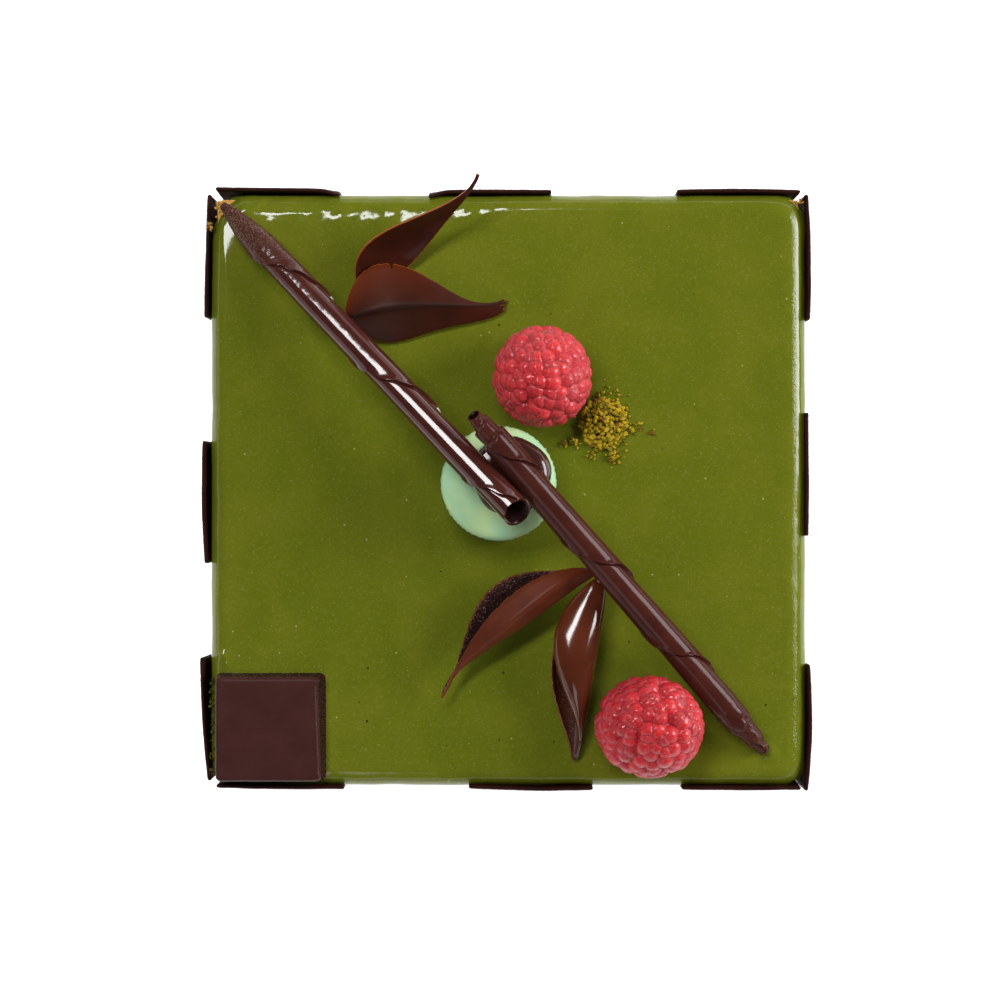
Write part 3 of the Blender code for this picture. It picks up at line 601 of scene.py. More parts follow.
def inward(loop):
    """Unit normals that point into a clockwise closed loop."""
    ahead = np.roll(loop, -1, axis=0) - np.roll(loop, 1, axis=0)
    ahead /= np.linalg.norm(ahead, axis=1, keepdims=True)
    return np.stack([ahead[:, 1], -ahead[:, 0]], axis=1)


# Cake body

def glaze_outline(count):
    """Outline of the glaze, with the two upper corners worn back to the sponge."""
    half_x, half_y = COAT_HALF
    outline = rounded_outline(half_x, half_y, CORNER_RADII, 10)
    left = [(-half_x, 61.0), (-69.9, 62.8), (-69.1, 64.4), (-68.2, 65.9), (-67.4, 67.3), (-66.8, 68.6),
            (-66.0, 69.6), (-64.6, half_y)]
    right = [(65.8, half_y), (67.4, 69.7), (68.2, 68.7), (69.0, 67.7), (69.9, 66.6), (half_x, 65.0)]
    lower_corners = outline[len(outline) // 2:]
    return smoothed(resampled(left + right + lower_corners, count), 3) + COAT_CENTRE


def glaze_relief(place):
    """Height of bubbles, folds and drawn-up spots, and the slump at the worn corner."""
    x = place[:, 0]
    y = place[:, 1]
    lift = np.zeros(len(place))
    for at_x, at_y, half_x, half_y, rise in GLAZE_BUMPS:
        lift += rise * np.exp(-((x - at_x) / half_x) ** 2 - ((y - at_y) / half_y) ** 2)
    toward = -0.616 * x + 0.788 * y - 84.0
    beside = np.clip((-x - 63.0) / 4.0, 0, 1)
    slump = np.logaddexp(0, toward / 0.9) - np.logaddexp(0, (toward - 6.0) / 0.9)
    far_side = np.clip((y - 60.0) / 4.0, 0, 1) * np.clip((5.0 - x) / 8.0, 0, 1)
    lift += (0.10 * waves(place[:, :2], 8.0, 31) + 0.045 * waves(place[:, :2], 3.0, 33)) * far_side
    return lift - 0.10 * slump * beside


def build_glaze(material):
    """The whole coat: inner face, hem, sides, a rolled shoulder and the top."""
    count = 720
    loop = glaze_outline(count)
    normal = inward(loop)
    x, y = loop.T
    east = np.clip(-normal[:, 0], 0, 1) ** 4
    south = np.clip(normal[:, 1], 0, 1) ** 4
    edge = loop - normal * (0.10 * waves(loop, 13.0, 5, 3) + 0.06 * waves(loop, 45.0, 6))[:, None]
    edge = edge - normal * (0.45 * east + 0.35 * south)[:, None]
    # The shoulder is wider along the left half of the far side and narrow at the worn corner.
    wide = np.clip((y - 66.0) / 3.0, 0, 1) * np.clip((-x + 2.0) / 25.0, 0, 1) * np.clip((x + 69.0) / 9.0, 0, 1)
    pinched = 1 - 0.6 * np.exp(-((x + 68.0) / 8.0) ** 2 - ((y - 66.0) / 9.0) ** 2)
    shoulder = ((RIM_WIDTH + 2.6 * wide + 0.7 * east + 0.25 * waves(loop, 24.0, 7)) * pinched)[:, None]
    rows = []
    heights = []

    def ring(flat, height):
        rows.append(flat)
        heights.append(np.full(count, height))

    inner = TOP - TOP_THICK
    ring(edge + normal * (SIDE_THICK + 0.5), inner)
    ring(edge + normal * (SIDE_THICK + 0.5), HEM)
    for inset, height in ((0.45, HEM - 0.15), (0.2, HEM - 0.1), (0.03, HEM + 0.15), (0.0, HEM + 0.5)):
        ring(edge + normal * inset, height)
    for height in np.linspace(HEM + 1.5, TOP - RIM_DROP, 16):
        ring(edge, height)
    here = edge
    angles = np.linspace(0, math.pi / 2, 21)
    for before, angle in zip(angles, angles[1:]):
        here = smoothed(here + inward(here) * shoulder * (math.cos(before) - math.cos(angle)), 4)
        ring(here, TOP - RIM_DROP * (1 - math.sin(angle)))
    side_rows = len(rows)
    for share in np.linspace(1, 0.0, 78)[1:-1]:
        ring(here * share, TOP)
    flat = np.concatenate(rows)
    height = np.concatenate(heights)
    place = np.column_stack([flat, height])
    lift = 0.035 * waves(flat, 38.0, 8) + 0.008 * waves(flat, 9.0, 9)
    place[:, 2] += lift * np.clip((height - inner) / 2, 0, 1)
    place[:, 2] += glaze_relief(place) * np.clip((height - TOP + RIM_DROP) / 1.5, 0, 1)
    near_rim = np.exp(-((height - (TOP - 1.0)) / 1.8) ** 2)
    push = (0.07 * waves(place, 7.0, 21, 3) * near_rim + 0.05 * waves(place, 17.0, 22)) * (height > HEM + 3)
    shell = np.arange(len(place)) < side_rows * count
    place[:, :2] += np.where(shell[:, None], np.tile(normal, (len(rows), 1)) * push[:, None], 0.0)
    hub = len(place)
    points = np.vstack([place, [[0, 0, TOP]], [[0, 0, inner]]])
    faces = grid_quads(len(rows), count, closed=True) + end_fans(len(rows), count, hub + 1, hub)
    face_outward(add_piece("glaze_coat", points, faces, material, ["glaze"]))


def side_points(side, along, out, z):
    """Points on one side of the cake, from how far along it, out from the middle and up they are."""
    if side == "north":
        return np.stack([along, out, z], axis=-1)
    if side == "south":
        return np.stack([along, -out, z], axis=-1)
    if side == "east":
        return np.stack([out, along, z], axis=-1)
    return np.stack([-out, along, z], axis=-1)


def build_plaque(number, name, spec, material):
    """A thin leaning sheet, bowed along its top, with slightly ragged edges and sometimes a curled end."""
    side, span, outs = spec
    foot = PLAQUE_FOOT_OUT[side]
    curl_at = CURLED_ENDS.get(name)
    t = np.linspace(0, 1, 96)
    s = np.linspace(0, 1, 36)
    out_top = outs[0] * (1 - t) * (1 - 2 * t) + outs[1] * 4 * t * (1 - t) + outs[2] * t * (2 * t - 1)
    out_foot = np.minimum(foot + 0.25 * (out_top - foot), out_top)
    along = (span[0] + (span[1] - span[0]) * t)[:, None] + np.zeros((1, len(s)))
    out = out_foot[:, None] + (out_top - out_foot)[:, None] * s[None, :]
    if curl_at is not None:
        from_end = np.abs(t - curl_at) * abs(span[1] - span[0])
        out = out - 1.1 * np.exp(-(from_end / 2.6) ** 2)[:, None] * s[None, :] ** 9
    z = PLAQUE_FOOT + (PLAQUE_TOP - PLAQUE_FOOT) * s[None, :] + np.zeros((len(t), 1))
    ripple = waves(np.column_stack([along.ravel(), z.ravel()]), 14.0, 40 + number).reshape(along.shape)
    edge = (0.5 - np.abs(s - 0.5)) * (PLAQUE_TOP - PLAQUE_FOOT)
    end = (0.5 - np.abs(t - 0.5)) * abs(span[1] - span[0])
    rim = np.minimum(edge[None, :], end[:, None])
    thin = 0.26 * (1 - np.clip(rim / 0.5, 0, 1)) ** 2
    ragged = 0.06 * np.abs(waves(np.column_stack([along.ravel(), 0.2 * z.ravel()]), 1.6, 90 + number, 3))
    thin = thin + ragged.reshape(along.shape) * s[None, :] ** 6
    points = [side_points(side, along, out + shift + 0.04 * ripple - 0.04, z).reshape(-1, 3)
              for shift in (-thin, thin - PLAQUE_THICK)]
    piece = add_piece("side_" + name, np.vstack(points), sheet_faces(*along.shape), material, [name])
    face_outward(piece)
    piece.data.set_sharp_from_angle(angle=math.radians(50))


def build_tile(material):
    """Moulded tile: rounded edges, rough leaning walls, and a top that sinks a little in the middle."""
    half_x = TILE_SIZE[0] / 2
    half_y = TILE_SIZE[1] / 2
    base = TOP + 0.02
    crown = TOP + TILE_GAP + TILE_SIZE[2]
    shoulder = crown - TILE_BEVEL
    count = 360
    loop = resampled(rounded_outline(half_x, half_y, TILE_RADII, 8), count)
    normal = inward(loop)
    wobble = waves(loop, 9.0, 61)[:, None]
    # Each wall leans in by its own amount, and the amounts run into each other at the corners.
    right_draft = 1.65 + 0.5 * loop[:, 1] / half_y
    drafts = ((right_draft, -normal[:, 0]), (0.9, -normal[:, 1]), (0.05, normal[:, 0]), (0.30, normal[:, 1]))
    draft = sum(amount * np.clip(facing, 0, 1) ** 1.3 for amount, facing in drafts)
    window = np.hanning(19) / np.hanning(19).sum()
    draft = np.convolve(np.concatenate([draft[-9:], draft, draft[:9]]), window, "valid")[:, None]
    rows = [(0.25, base), (0.05, base + 0.3)]
    rows += [(0.0, base + rise) for rise in (0.7, 1.2, 1.8, 2.4, 3.0)]
    rows += [(0.0, crown - 1.6), (0.0, shoulder)]
    wall_count = (len(rows) - 1) * count
    for angle in np.linspace(0, math.pi / 2, 8)[1:]:
        rows.append((1.0 - math.cos(angle), shoulder + TILE_BEVEL * math.sin(angle)))
    points = []
    for inset, height in rows:
        share = min(1.0, (height - base) / (shoulder - base))
        rough = 0.30 * waves(np.column_stack([loop, np.full(count, height * 1.4)]), 1.5, 63, 3)[:, None]
        rough = rough * math.sin(math.pi * share) ** 0.5 if height < crown - 1.1 else 0.0
        flat = loop + normal * (inset + 0.03 + 0.03 * wobble + draft * share + np.abs(rough))
        points.append(np.column_stack([flat, np.full(count, height)]))
    last = points[-1]
    for share in np.linspace(1, 0, 26)[1:-1]:
        ring = last * np.array([share, share, 1.0])
        ring[:, 2] = crown - 0.10 * (1 - share ** 2) * 0.6
        points.append(ring)
    place = np.vstack(points)
    place[:, 2] += 0.02 * waves(place[:, :2], 7.0, 62) * (place[:, 2] > crown - 0.5) - 0.02
    place[:, :2] += TILE_CENTRE
    top = len(place)
    place = np.vstack([place, [[*TILE_CENTRE, crown - 0.06]], [[*TILE_CENTRE, base]]])
    faces = grid_quads(len(points), count, closed=True) + end_fans(len(points), count, top + 1, top)
    piece = add_piece("bare_tile", place, faces, material, ["corner_tile"])
    face_outward(piece)
    write_attribute(piece, "wall", np.ones(wall_count))


def build_specks(name, spots, height, material):
    """Small round-backed dots that sit on the glaze: x, y and radius each."""
    rings = ((1.0, -0.05), (0.92, 0.35), (0.7, 0.72), (0.4, 0.94))
    turn = np.linspace(0, 2 * math.pi, 14, endpoint=False)
    count = len(turn)
    points = []
    faces = []
    for x, y, radius in spots:
        first = len(points)
        for reach, rise in rings:
            points += [(x + radius * reach * math.cos(a), y + radius * reach * math.sin(a),
                        TOP + 0.02 + height * radius * rise) for a in turn]
        hub = len(points)
        points += [(x, y, TOP + 0.02 + height * radius), (x, y, TOP - 0.1)]
        faces += grid_quads(len(rings), count, closed=True, first=first)
        faces += end_fans(len(rings), count, hub + 1, hub, first)
    add_piece(name, points, faces, material)


def build_beads(material):
    """Beads all over the glaze, and more of them along the right rim, the far rim and two sides of the tile."""
    rng = np.random.default_rng(17)
    beads = [(rng.uniform(-66, 66), rng.uniform(-66, 66), rng.uniform(0.10, 0.24)) for k in range(70)]
    beads += [(rng.normal(64.2, 1.1), rng.uniform(-60, 66), rng.uniform(0.08, 0.2)) for k in range(60)]
    beads += [(rng.uniform(-45, 2), rng.normal(64.5, 1.5), rng.uniform(0.08, 0.2)) for k in range(36)]
    beads += [(rng.uniform(-67, -44), rng.normal(-42.6, 0.35), rng.uniform(0.12, 0.26)) for k in range(44)]
    beads += [(rng.normal(-42.3, 0.25), rng.uniform(-68, -46), rng.uniform(0.12, 0.26)) for k in range(18)]
    build_specks("glaze_beads", beads, BEAD_RISE, material)


# Macaron

SHELL_PROFILE = ((0.0, 0.0), (12.6, 0.0), (13.2, 0.25), (13.75, 0.75), (13.6, 1.35), (13.35, 1.75), (13.5, 2.1),
                 (13.3, 2.8), (12.7, 3.5), (11.4, 4.35), (9.2, 4.98), (6.2, 5.42), (3.0, 5.58), (0.0, SHELL_HEIGHT))


def shell_curve(count):
    """Shell profile resampled finely and smoothed."""
    curve = even_points(SHELL_PROFILE, count)
    for sweep in range(14):
        curve[1:-1] = 0.5 * curve[1:-1] + 0.25 * (curve[2:] + curve[:-2])
    return curve


def dome_height(x, y):
    """Height of the macaron's top at x and y."""
    curve = shell_curve(160)
    curve = curve[curve[:, 1] > 1.6]
    order = np.argsort(curve[:, 0])
    radius = np.hypot(x - MACARON_CENTRE[0], y - MACARON_CENTRE[1])
    return SHELL_HIGH_FOOT + np.interp(radius, curve[order, 0], curve[order, 1])


def build_shell(name, node, foot, direction, seed, material):
    """A domed shell with a ruffled foot, standing up or down from the height foot."""
    sides = 180
    curve = shell_curve(92)[1:-1]
    angles = np.linspace(0, 2 * math.pi, sides, endpoint=False)
    radius = curve[:, 0][:, None] + np.zeros((1, sides))
    height = curve[:, 1][:, None] + np.zeros((1, sides))
    ruffle = np.exp(-((height - 0.9) / 0.75) ** 2) * (radius > 11)
    ring = np.column_stack([np.cos(angles), np.sin(angles)]) * MACARON_RADIUS
    round_foot = np.column_stack([np.tile(ring, (len(curve), 1)), height.reshape(-1) * 2.5])
    fine = waves(round_foot, 1.7, seed, 3).reshape(radius.shape)
    slow = waves(ring, 22.0, seed + 1)
    radius = radius * (1 + 0.006 * slow[None, :]) + ruffle * (0.34 * fine - 0.14)
    height = height + 0.05 * slow[None, :] * (height > 2.5) * (radius / MACARON_RADIUS) - 0.05
    x = MACARON_CENTRE[0] + radius * np.cos(angles)[None, :]
    y = MACARON_CENTRE[1] + radius * np.sin(angles)[None, :]
    z = foot + direction * height
    points = np.stack([x, y, z], axis=-1).reshape(-1, 3)
    last = len(points)
    ends = [[*MACARON_CENTRE, foot], [*MACARON_CENTRE, foot + direction * (SHELL_HEIGHT - 0.05)]]
    faces = grid_quads(len(curve), sides, closed=True) + end_fans(len(curve), sides, last, last + 1)
    piece = add_piece(name, np.vstack([points, ends]), faces, material, [node])
    face_outward(piece)
    write_attribute(piece, "foot", np.clip(ruffle.reshape(-1) * 1.2, 0, 1))


def build_filling(material):
    """Cream that swells a little between the shells."""
    sides = 200
    levels = np.linspace(0, 1, 16)
    angles = np.linspace(0, 2 * math.pi, sides, endpoint=False)
    low = SHELL_LOW_FOOT + 0.03
    high = SHELL_HIGH_FOOT - 0.03
    turn = np.column_stack([np.cos(angles), np.sin(angles)])
    wave = waves(turn * 12.9, 6.0, 71, 3)
    rows = []
    for level in levels:
        radius = 12.55 + 0.5 * math.sin(math.pi * level) ** 0.6 + 0.16 * wave
        height = np.full(sides, low + (high - low) * level)
        rows.append(np.column_stack([MACARON_CENTRE + radius[:, None] * turn, height]))
    last = len(levels) * sides
    points = np.vstack(rows + [[[*MACARON_CENTRE, low]], [[*MACARON_CENTRE, high]]])
    faces = grid_quads(len(levels), sides, closed=True) + end_fans(len(levels), sides, last, last + 1)
    face_outward(add_piece("cream_filling", points, faces, material, ["macaron_filling"]))


def build_dab(material):
    """Spread chocolate that follows the dome, with a swollen round edge."""
    sides = 180
    shares = np.concatenate([np.linspace(0.02, 0.8, 14), np.linspace(0.82, 1.0, 16)])
    angles = np.linspace(0, 2 * math.pi, sides, endpoint=False)
    wobble = 1.0 + 0.025 * np.sin(3 * angles + 0.8) + 0.015 * np.sin(5 * angles)
    rows = []

    def ring(share):
        return (DAB_CENTRE[0] + DAB_RADIUS * share * wobble * np.cos(angles),
                DAB_CENTRE[1] + DAB_RADIUS * share * wobble * np.sin(angles))

    for share in shares:
        x, y = ring(share)
        swell = 1.35 * (max(0.0, 1 - share ** 6)) ** 0.5 + 0.10 * math.exp(-((share - 0.86) / 0.08) ** 2)
        ripple = 0.06 * waves(np.column_stack([x, y]), 6.0, 81)
        rows.append(np.column_stack([x, y, dome_height(x, y) + 0.02 + swell + ripple * min(1.0, 4 * (1 - share))]))
    for share in (0.97, 0.9, 0.5):
        x, y = ring(share)
        rows.append(np.column_stack([x, y, dome_height(x, y) - 0.05]))
    peak = float(dome_height(*DAB_CENTRE))
    last = len(rows) * sides
    points = np.vstack(rows + [[[*DAB_CENTRE, peak + 1.37]], [[*DAB_CENTRE, peak - 0.05]]])
    faces = grid_quads(len(rows), sides, closed=True) + end_fans(len(rows), sides, last, last + 1)
    face_outward(add_piece("glossy_dab", points, faces, material, ["chocolate_dab"]))


# Rolled sticks

def build_stick(kind, spec, material):
    """A sheet rolled on a slant: a spiral section whose seam winds along the axis, with an open end."""
    start = np.array(spec["tip"]) + (0, 0, TOP)
    finish = np.array(spec["end"]) + (0, 0, TOP)
    length = np.linalg.norm(finish - start)
    axis = (finish - start) / length
    side = np.cross(axis, (0, 0, 1))
    side /= np.linalg.norm(side)
    up = np.cross(side, axis)
    turn = 0.5 - 0.5 * np.cos(np.pi * np.linspace(0, 1, 85))
    d = np.arange(0, length + 0.2, 0.4)
    d[-1] = length
    seam = -2 * math.pi * np.interp(d, spec["seams"], np.arange(-1, len(spec["seams"]) - 1))
    seam_wave = 0.10 * np.sin(d / 2.3 + kind) + 0.06 * np.sin(d / 0.9)
    over = turn if spec["over"] > 0 else 1 - turn
    angle = (seam + seam_wave)[:, None] + 2 * math.pi * turn[None, :]
    along = d[:, None] + np.zeros_like(angle)
    around = np.stack([along, STICK_RADIUS * np.sin(angle), STICK_RADIUS * np.cos(angle)], axis=-1).reshape(-1, 3)
    chips = waves(around, 2.6, 98 + kind, 3).reshape(angle.shape)
    taper = np.interp(along + spec["ragged"] * (chips + 0.8 * np.sin(angle + 2.0)), spec["taper_at"], spec["taper"])
    if kind == 2:
        taper = taper * np.interp(length - along + 0.9 * np.sin(angle) + 0.15 * chips, STEPPED_AT, STEPPED)
    lip = 0.16 * np.exp(-((1 - over) / 0.035) ** 2) - 0.16 * np.exp(-(over / 0.02) ** 2)
    radius = taper * (STICK_RADIUS + STICK_STEP * (over - 0.5) + lip)[None, :]
    calm = (0.3 + 0.7 * np.exp(-(d / 48.0) ** 4) if kind == 1 else 0.6 + 0 * d)[:, None]
    uneven = 0.04 * waves(around, 15.0, 90 + kind) + 0.012 * waves(around, 3.0, 92 + kind)
    radius = radius + calm * uneven.reshape(radius.shape)
    rough = np.exp(-(d / (18.0 if kind == 1 else 7.0)) ** 2)[:, None]
    radius = radius + rough * 0.10 * waves(around, 1.2, 95 + kind, 3).reshape(radius.shape)
    lean = spec["slant"] * np.cos(angle) * np.exp(-((length - d) / 1.2))[:, None]
    place = start + axis * (along - lean)[..., None]
    place = place + side * (np.sin(angle) * radius)[..., None] + up * (np.cos(angle) * radius)[..., None]
    rows = list(place)
    mouth = angle[-1]
    for share, depth in ((0.92, -0.05), (0.80, 0.05), (0.72, 0.6), (0.70, spec["bore_depth"])):
        r = radius[-1] * share if kind == 2 else np.maximum(radius[-1] * share, spec["bore"])
        tilt = spec["slant"] * np.cos(mouth) * (1.0 if depth < 1 else 0.0)
        rows.append(start + np.outer(length - depth - tilt, axis)
                    + np.outer(np.sin(mouth) * r, side) + np.outer(np.cos(mouth) * r, up))
    points = np.vstack(rows)
    count = len(turn)
    hub = len(points)
    points = np.vstack([points, [start - axis * 0.2], [start + axis * (length - spec["bore_depth"])]])
    faces = grid_quads(len(rows), count, closed=True) + end_fans(len(rows), count, hub, hub + 1)
    piece = add_piece("rolled_stick_%d" % kind, points, faces, material, ["stick_%d" % kind])
    face_outward(piece)
    worn = np.clip(1.15 - d / (23.0 if kind == 1 else 9.0), 0, 1) * (1.0 if kind == 1 else 0.35)
    dotted = np.clip(1.6 - d / 30.0, 0, 1) if kind == 1 else 0 * d
    write_attribute(piece, "dotted", np.repeat(dotted, count))
    write_attribute(piece, "worn", np.repeat(worn, count))
    # The last three rings and the inner hub line the bore, whose colour is painted dark as shade. The other hub is
    # the tip.
    hollow = np.zeros(len(points))
    hollow[-3 * count - 2:] = 1.0
    hollow[hub] = 0.0
    write_attribute(piece, "hollow", hollow)
    piece.data.set_sharp_from_angle(angle=math.radians(48))


# Leaves

def across_weights(count, v, flat):
    """Share of each guide across the sheet: from one smooth curve to flat flanks that meet in creases."""
    knots = np.linspace(0, 1, count)
    smooth = np.ones((count, *v.shape))
    for j, knot in enumerate(knots):
        for other in np.delete(knots, j):
            smooth[j] *= (v - other) / (knot - other)
    shift = np.linspace(-2.5, 2.5, 21)
    bell = np.exp(-0.5 * shift ** 2)
    spread = v[..., None] + shift * CREASE
    cell = np.clip(np.floor(spread * (count - 1)), 0, count - 2)
    share = spread * (count - 1) - cell
    bell /= bell.sum()
    hats = np.stack([((cell == j) * (1 - share) + (cell == j - 1) * share) @ bell for j in range(count)])
    return (1 - flat) * smooth + flat * hats


def leaf_surface(guides, u, v, flat):
    """Bezier along each guide curve, blended across the sheet."""
    guides = np.array(guides, dtype=float)
    degree = guides.shape[1] - 1
    along = np.stack([math.comb(degree, k) * u ** k * (1 - u) ** (degree - k) for k in range(degree + 1)])
    return np.einsum("kuv,juv,jkc->uvc", along, across_weights(len(guides), v, flat), guides)


def build_leaf(number, spec, material):
    """A thin sheet through the guide curves, with broken edges and both faces split alike."""
    us = np.linspace(0, 1, 190)[:, None]
    vs = np.linspace(0, 1, 52)[None, :]
    jag = 0.006 * waves(us * 60, 5.0, 120 + number, 3)[:, None]
    first = jag + 0.0 * us
    if spec["nick"] is not None:
        first = first + 0.07 * np.exp(-((us - spec["nick"]) / 0.007) ** 2)
    v = vs + first * (1 - vs) ** 12 - 0.006 * waves(us * 60, 4.0, 130 + number, 3)[:, None] * vs ** 12
    worn_end = spec["ragged"] * (0.5 + waves(vs.T * 20, 6.0, 140 + number, 3))[None, :]
    u = np.clip(us - worn_end * us ** 14, 0, 1) + 0 * v
    grid = leaf_surface(spec["guides"], u, v, spec["flat"])
    along = np.gradient(grid, axis=0)
    across = np.gradient(grid, axis=1)
    normal = np.cross(along, across)
    normal /= np.linalg.norm(normal, axis=2, keepdims=True)
    rows, cols = grid.shape[:2]
    side = math.copysign(1.0, normal[rows // 2, cols // 4, 2])
    ripple = waves(grid.reshape(-1, 3), 11.0, 110 + number).reshape(rows, cols)
    edge = np.minimum(vs, 1 - vs) + 0 * us
    end = np.minimum(us, 1 - us) + 0 * vs
    half = 0.5 * LEAF_THICK * (0.5 + 0.5 * np.clip(np.minimum(edge / 0.05, end / 0.03), 0, 1) ** 0.5)
    lifted = spec["flare"] * side * np.exp(-((vs / 0.07) ** 2)) * np.sin(np.pi * us) ** 0.5
    surface = grid + normal * (0.03 * ripple + lifted)[..., None]
    shift = np.array((0.0, 0.0, TOP))
    points = np.vstack([(surface + normal * half[..., None] + shift).reshape(-1, 3),
                        (surface - normal * half[..., None] + shift).reshape(-1, 3)])
    piece = add_piece("curled_leaf_%d" % number, points, sheet_faces(rows, cols), material,
                      ["leaf_%d" % number])
    face_outward(piece)
    rim = np.clip(1 - np.minimum(edge / 0.022, end / 0.012), 0, 1).reshape(-1)
    # Shares for painted light on the first flank, painted shade along the fold, and the darker, dull inside.
    warm = spec["warm"] * (np.clip(1 - vs / 0.45, 0, 1) * np.clip(1.15 - us / 0.55, 0, 1)).reshape(-1)
    fold = spec["fold"] * np.exp(-((v - 0.515) / 0.045) ** 2).reshape(-1)
    inner = np.full(rows * cols, spec["dull"])
    write_attribute(piece, "fold", np.concatenate([fold, fold]))
    write_attribute(piece, "rim", np.concatenate([rim, rim]))
    write_attribute(piece, "warm", np.concatenate([warm, warm]))
    write_attribute(piece, "inner", np.concatenate([0 * inner, inner] if side > 0 else [inner, 0 * inner]))


# Berries

def drupelets(rng):
    """Directions of the drupelets, in a spiral from the tip to the crown with some disorder."""
    depth = (1 - math.cos(math.radians(BERRY_REACH))) / DRUPELET_COUNT
    found = []
    for k in range(DRUPELET_COUNT):
        height = 1 - depth * (k + 0.5)
        turn = k * math.pi * (3 - math.sqrt(5)) + rng.uniform(-0.05, 0.05)
        flat = math.sqrt(max(0.0, 1 - height ** 2))
        way = np.array((flat * math.cos(turn), flat * math.sin(turn), height)) + rng.normal(0, 0.060, 3)
        found.append(way / np.linalg.norm(way))
    return found


def build_berry(number, spec, seed, material):
    """A whole berry: the outer surface of all its drupelets, seen from the middle."""
    centre, half, lean = spec
    rng = np.random.default_rng(seed)
    bm = bmesh.new()
    bmesh.ops.create_icosphere(bm, subdivisions=7, radius=1.0)
    rays = np.array([v.co[:] for v in bm.verts])
    faces = [[v.index for v in f.verts] for f in bm.faces]
    bm.free()
    half = np.array(half)
    reach = 1 / np.sqrt(((rays / (half - 1.6)) ** 2).sum(axis=1))
    second = np.zeros(len(rays))
    tone = np.zeros(len(rays))
    for way in drupelets(rng):
        radius = DRUPELET * rng.uniform(0.84, 1.06)
        middle = way * (half - radius + rng.uniform(-0.15, 0.1))
        along = rays @ middle
        inside = radius ** 2 - (middle @ middle - along ** 2)
        hit = np.where((inside > 0) & (along > 0), along + np.sqrt(np.clip(inside, 0, None)), 0.0)
        better = hit > reach
        second = np.where(better, reach, np.maximum(second, hit))
        reach = np.where(better, hit, reach)
        tone = np.where(better, rng.uniform(), tone)
    gap = reach - second
    reach = reach - 0.20 * np.exp(-gap / 0.12)
    points = rays * reach[:, None]
    points += rays * (0.035 * waves(points, 1.4, seed + 3, 2))[:, None]
    tilt_y = math.radians(lean[0])
    tilt_x = math.radians(-lean[1])
    turn_y = np.array([[math.cos(tilt_y), 0, math.sin(tilt_y)], [0, 1, 0], [-math.sin(tilt_y), 0, math.cos(tilt_y)]])
    turn_x = np.array([[1, 0, 0], [0, math.cos(tilt_x), -math.sin(tilt_x)], [0, math.sin(tilt_x), math.cos(tilt_x)]])
    points = points @ (turn_y @ turn_x).T
    points += (centre[0], centre[1], TOP + 0.3 + half[2] * 0.86)
    points[:, 2] = np.maximum(points[:, 2], TOP + 0.02)
    piece = add_piece("ripe_berry_%d" % number, points, faces, material, ["berry_%d" % number])
    # gap marks the crevices, where dark shade is painted; flank marks the lower sides, painted duller and darker as
    # shade.
    write_attribute(piece, "gap", gap)
    write_attribute(piece, "tone", tone)
    height = (points[:, 2] - TOP) / (2 * half[2])
    write_attribute(piece, "flank", np.clip((0.92 - height) / 0.45, 0, 1))


# Crumbs

def scatter_grains(name, spots, rng, material, replaced=()):
    """Rough little grains that stand on the given places: x, y, z and radius each."""
    bm = bmesh.new()
    bmesh.ops.create_icosphere(bm, subdivisions=1, radius=1.0)
    ball = np.array([v.co[:] for v in bm.verts])
    ball_faces = np.array([[v.index for v in f.verts] for f in bm.faces])
    bm.free()
    points = []
    faces = []
    tints = []
    for x, y, z, size in spots:
        radii = size * rng.uniform(0.6, 1.25, 3)
        turn, up = rng.uniform(0, 2 * math.pi, 2)
        spin = np.array([[math.cos(turn), -math.sin(turn), 0], [math.sin(turn), math.cos(turn), 0], [0, 0, 1]])
        tip = np.array([[1, 0, 0], [0, math.cos(up), -math.sin(up)], [0, math.sin(up), math.cos(up)]])
        grain = (ball * rng.uniform(0.6, 1.3, (len(ball), 1)) * radii) @ (spin @ tip).T
        grain[:, 2] -= grain[:, 2].min()
        faces.append(ball_faces + len(ball) * len(points))
        points.append(grain + (x, y, z))
        tints.append(np.full(len(grain), rng.uniform()))
    piece = add_piece(name, np.vstack(points), np.vstack(faces).tolist(), material, replaced, smooth=False)
    write_attribute(piece, "tint", np.concatenate(tints))


def build_crumbs(material):
    """The heap, and stray grains round it."""
    rng = np.random.default_rng(7)
    centre_x, centre_y = HEAP_CENTRE
    floor = TOP + 0.02
    spots = []
    for k in range(HEAP_GRAINS):
        share = math.sqrt(rng.uniform()) ** 0.8
        angle = rng.uniform(0, 2 * math.pi)
        z = HEAP_HALF[2] * max(0.0, 1 - share ** 2) * rng.uniform(0.1, 1.0)
        spots.append((centre_x + HEAP_HALF[0] * share * math.cos(angle),
                      centre_y + HEAP_HALF[1] * share * math.sin(angle), floor + z, rng.uniform(0.26, 0.70)))
    for k in range(STRAY_GRAINS):
        angle = rng.uniform(0, 2 * math.pi)
        reach = 5.0 + rng.exponential(1.4)
        spots.append((centre_x + min(reach, 9.5) * math.cos(angle), centre_y + min(reach, 9.0) * math.sin(angle),
                      floor, rng.uniform(0.2, 0.42)))
    for x, y, count, spread in CRUMB_SPOTS:
        for k in range(count):
            spots.append((x + rng.normal(0, spread), y + rng.normal(0, spread),
                          floor + abs(rng.normal(0, 0.35 * spread)), rng.uniform(0.22, 0.55)))
    scatter_grains("crumb_heap", spots, rng, material, ["pistachio_crumbs"])


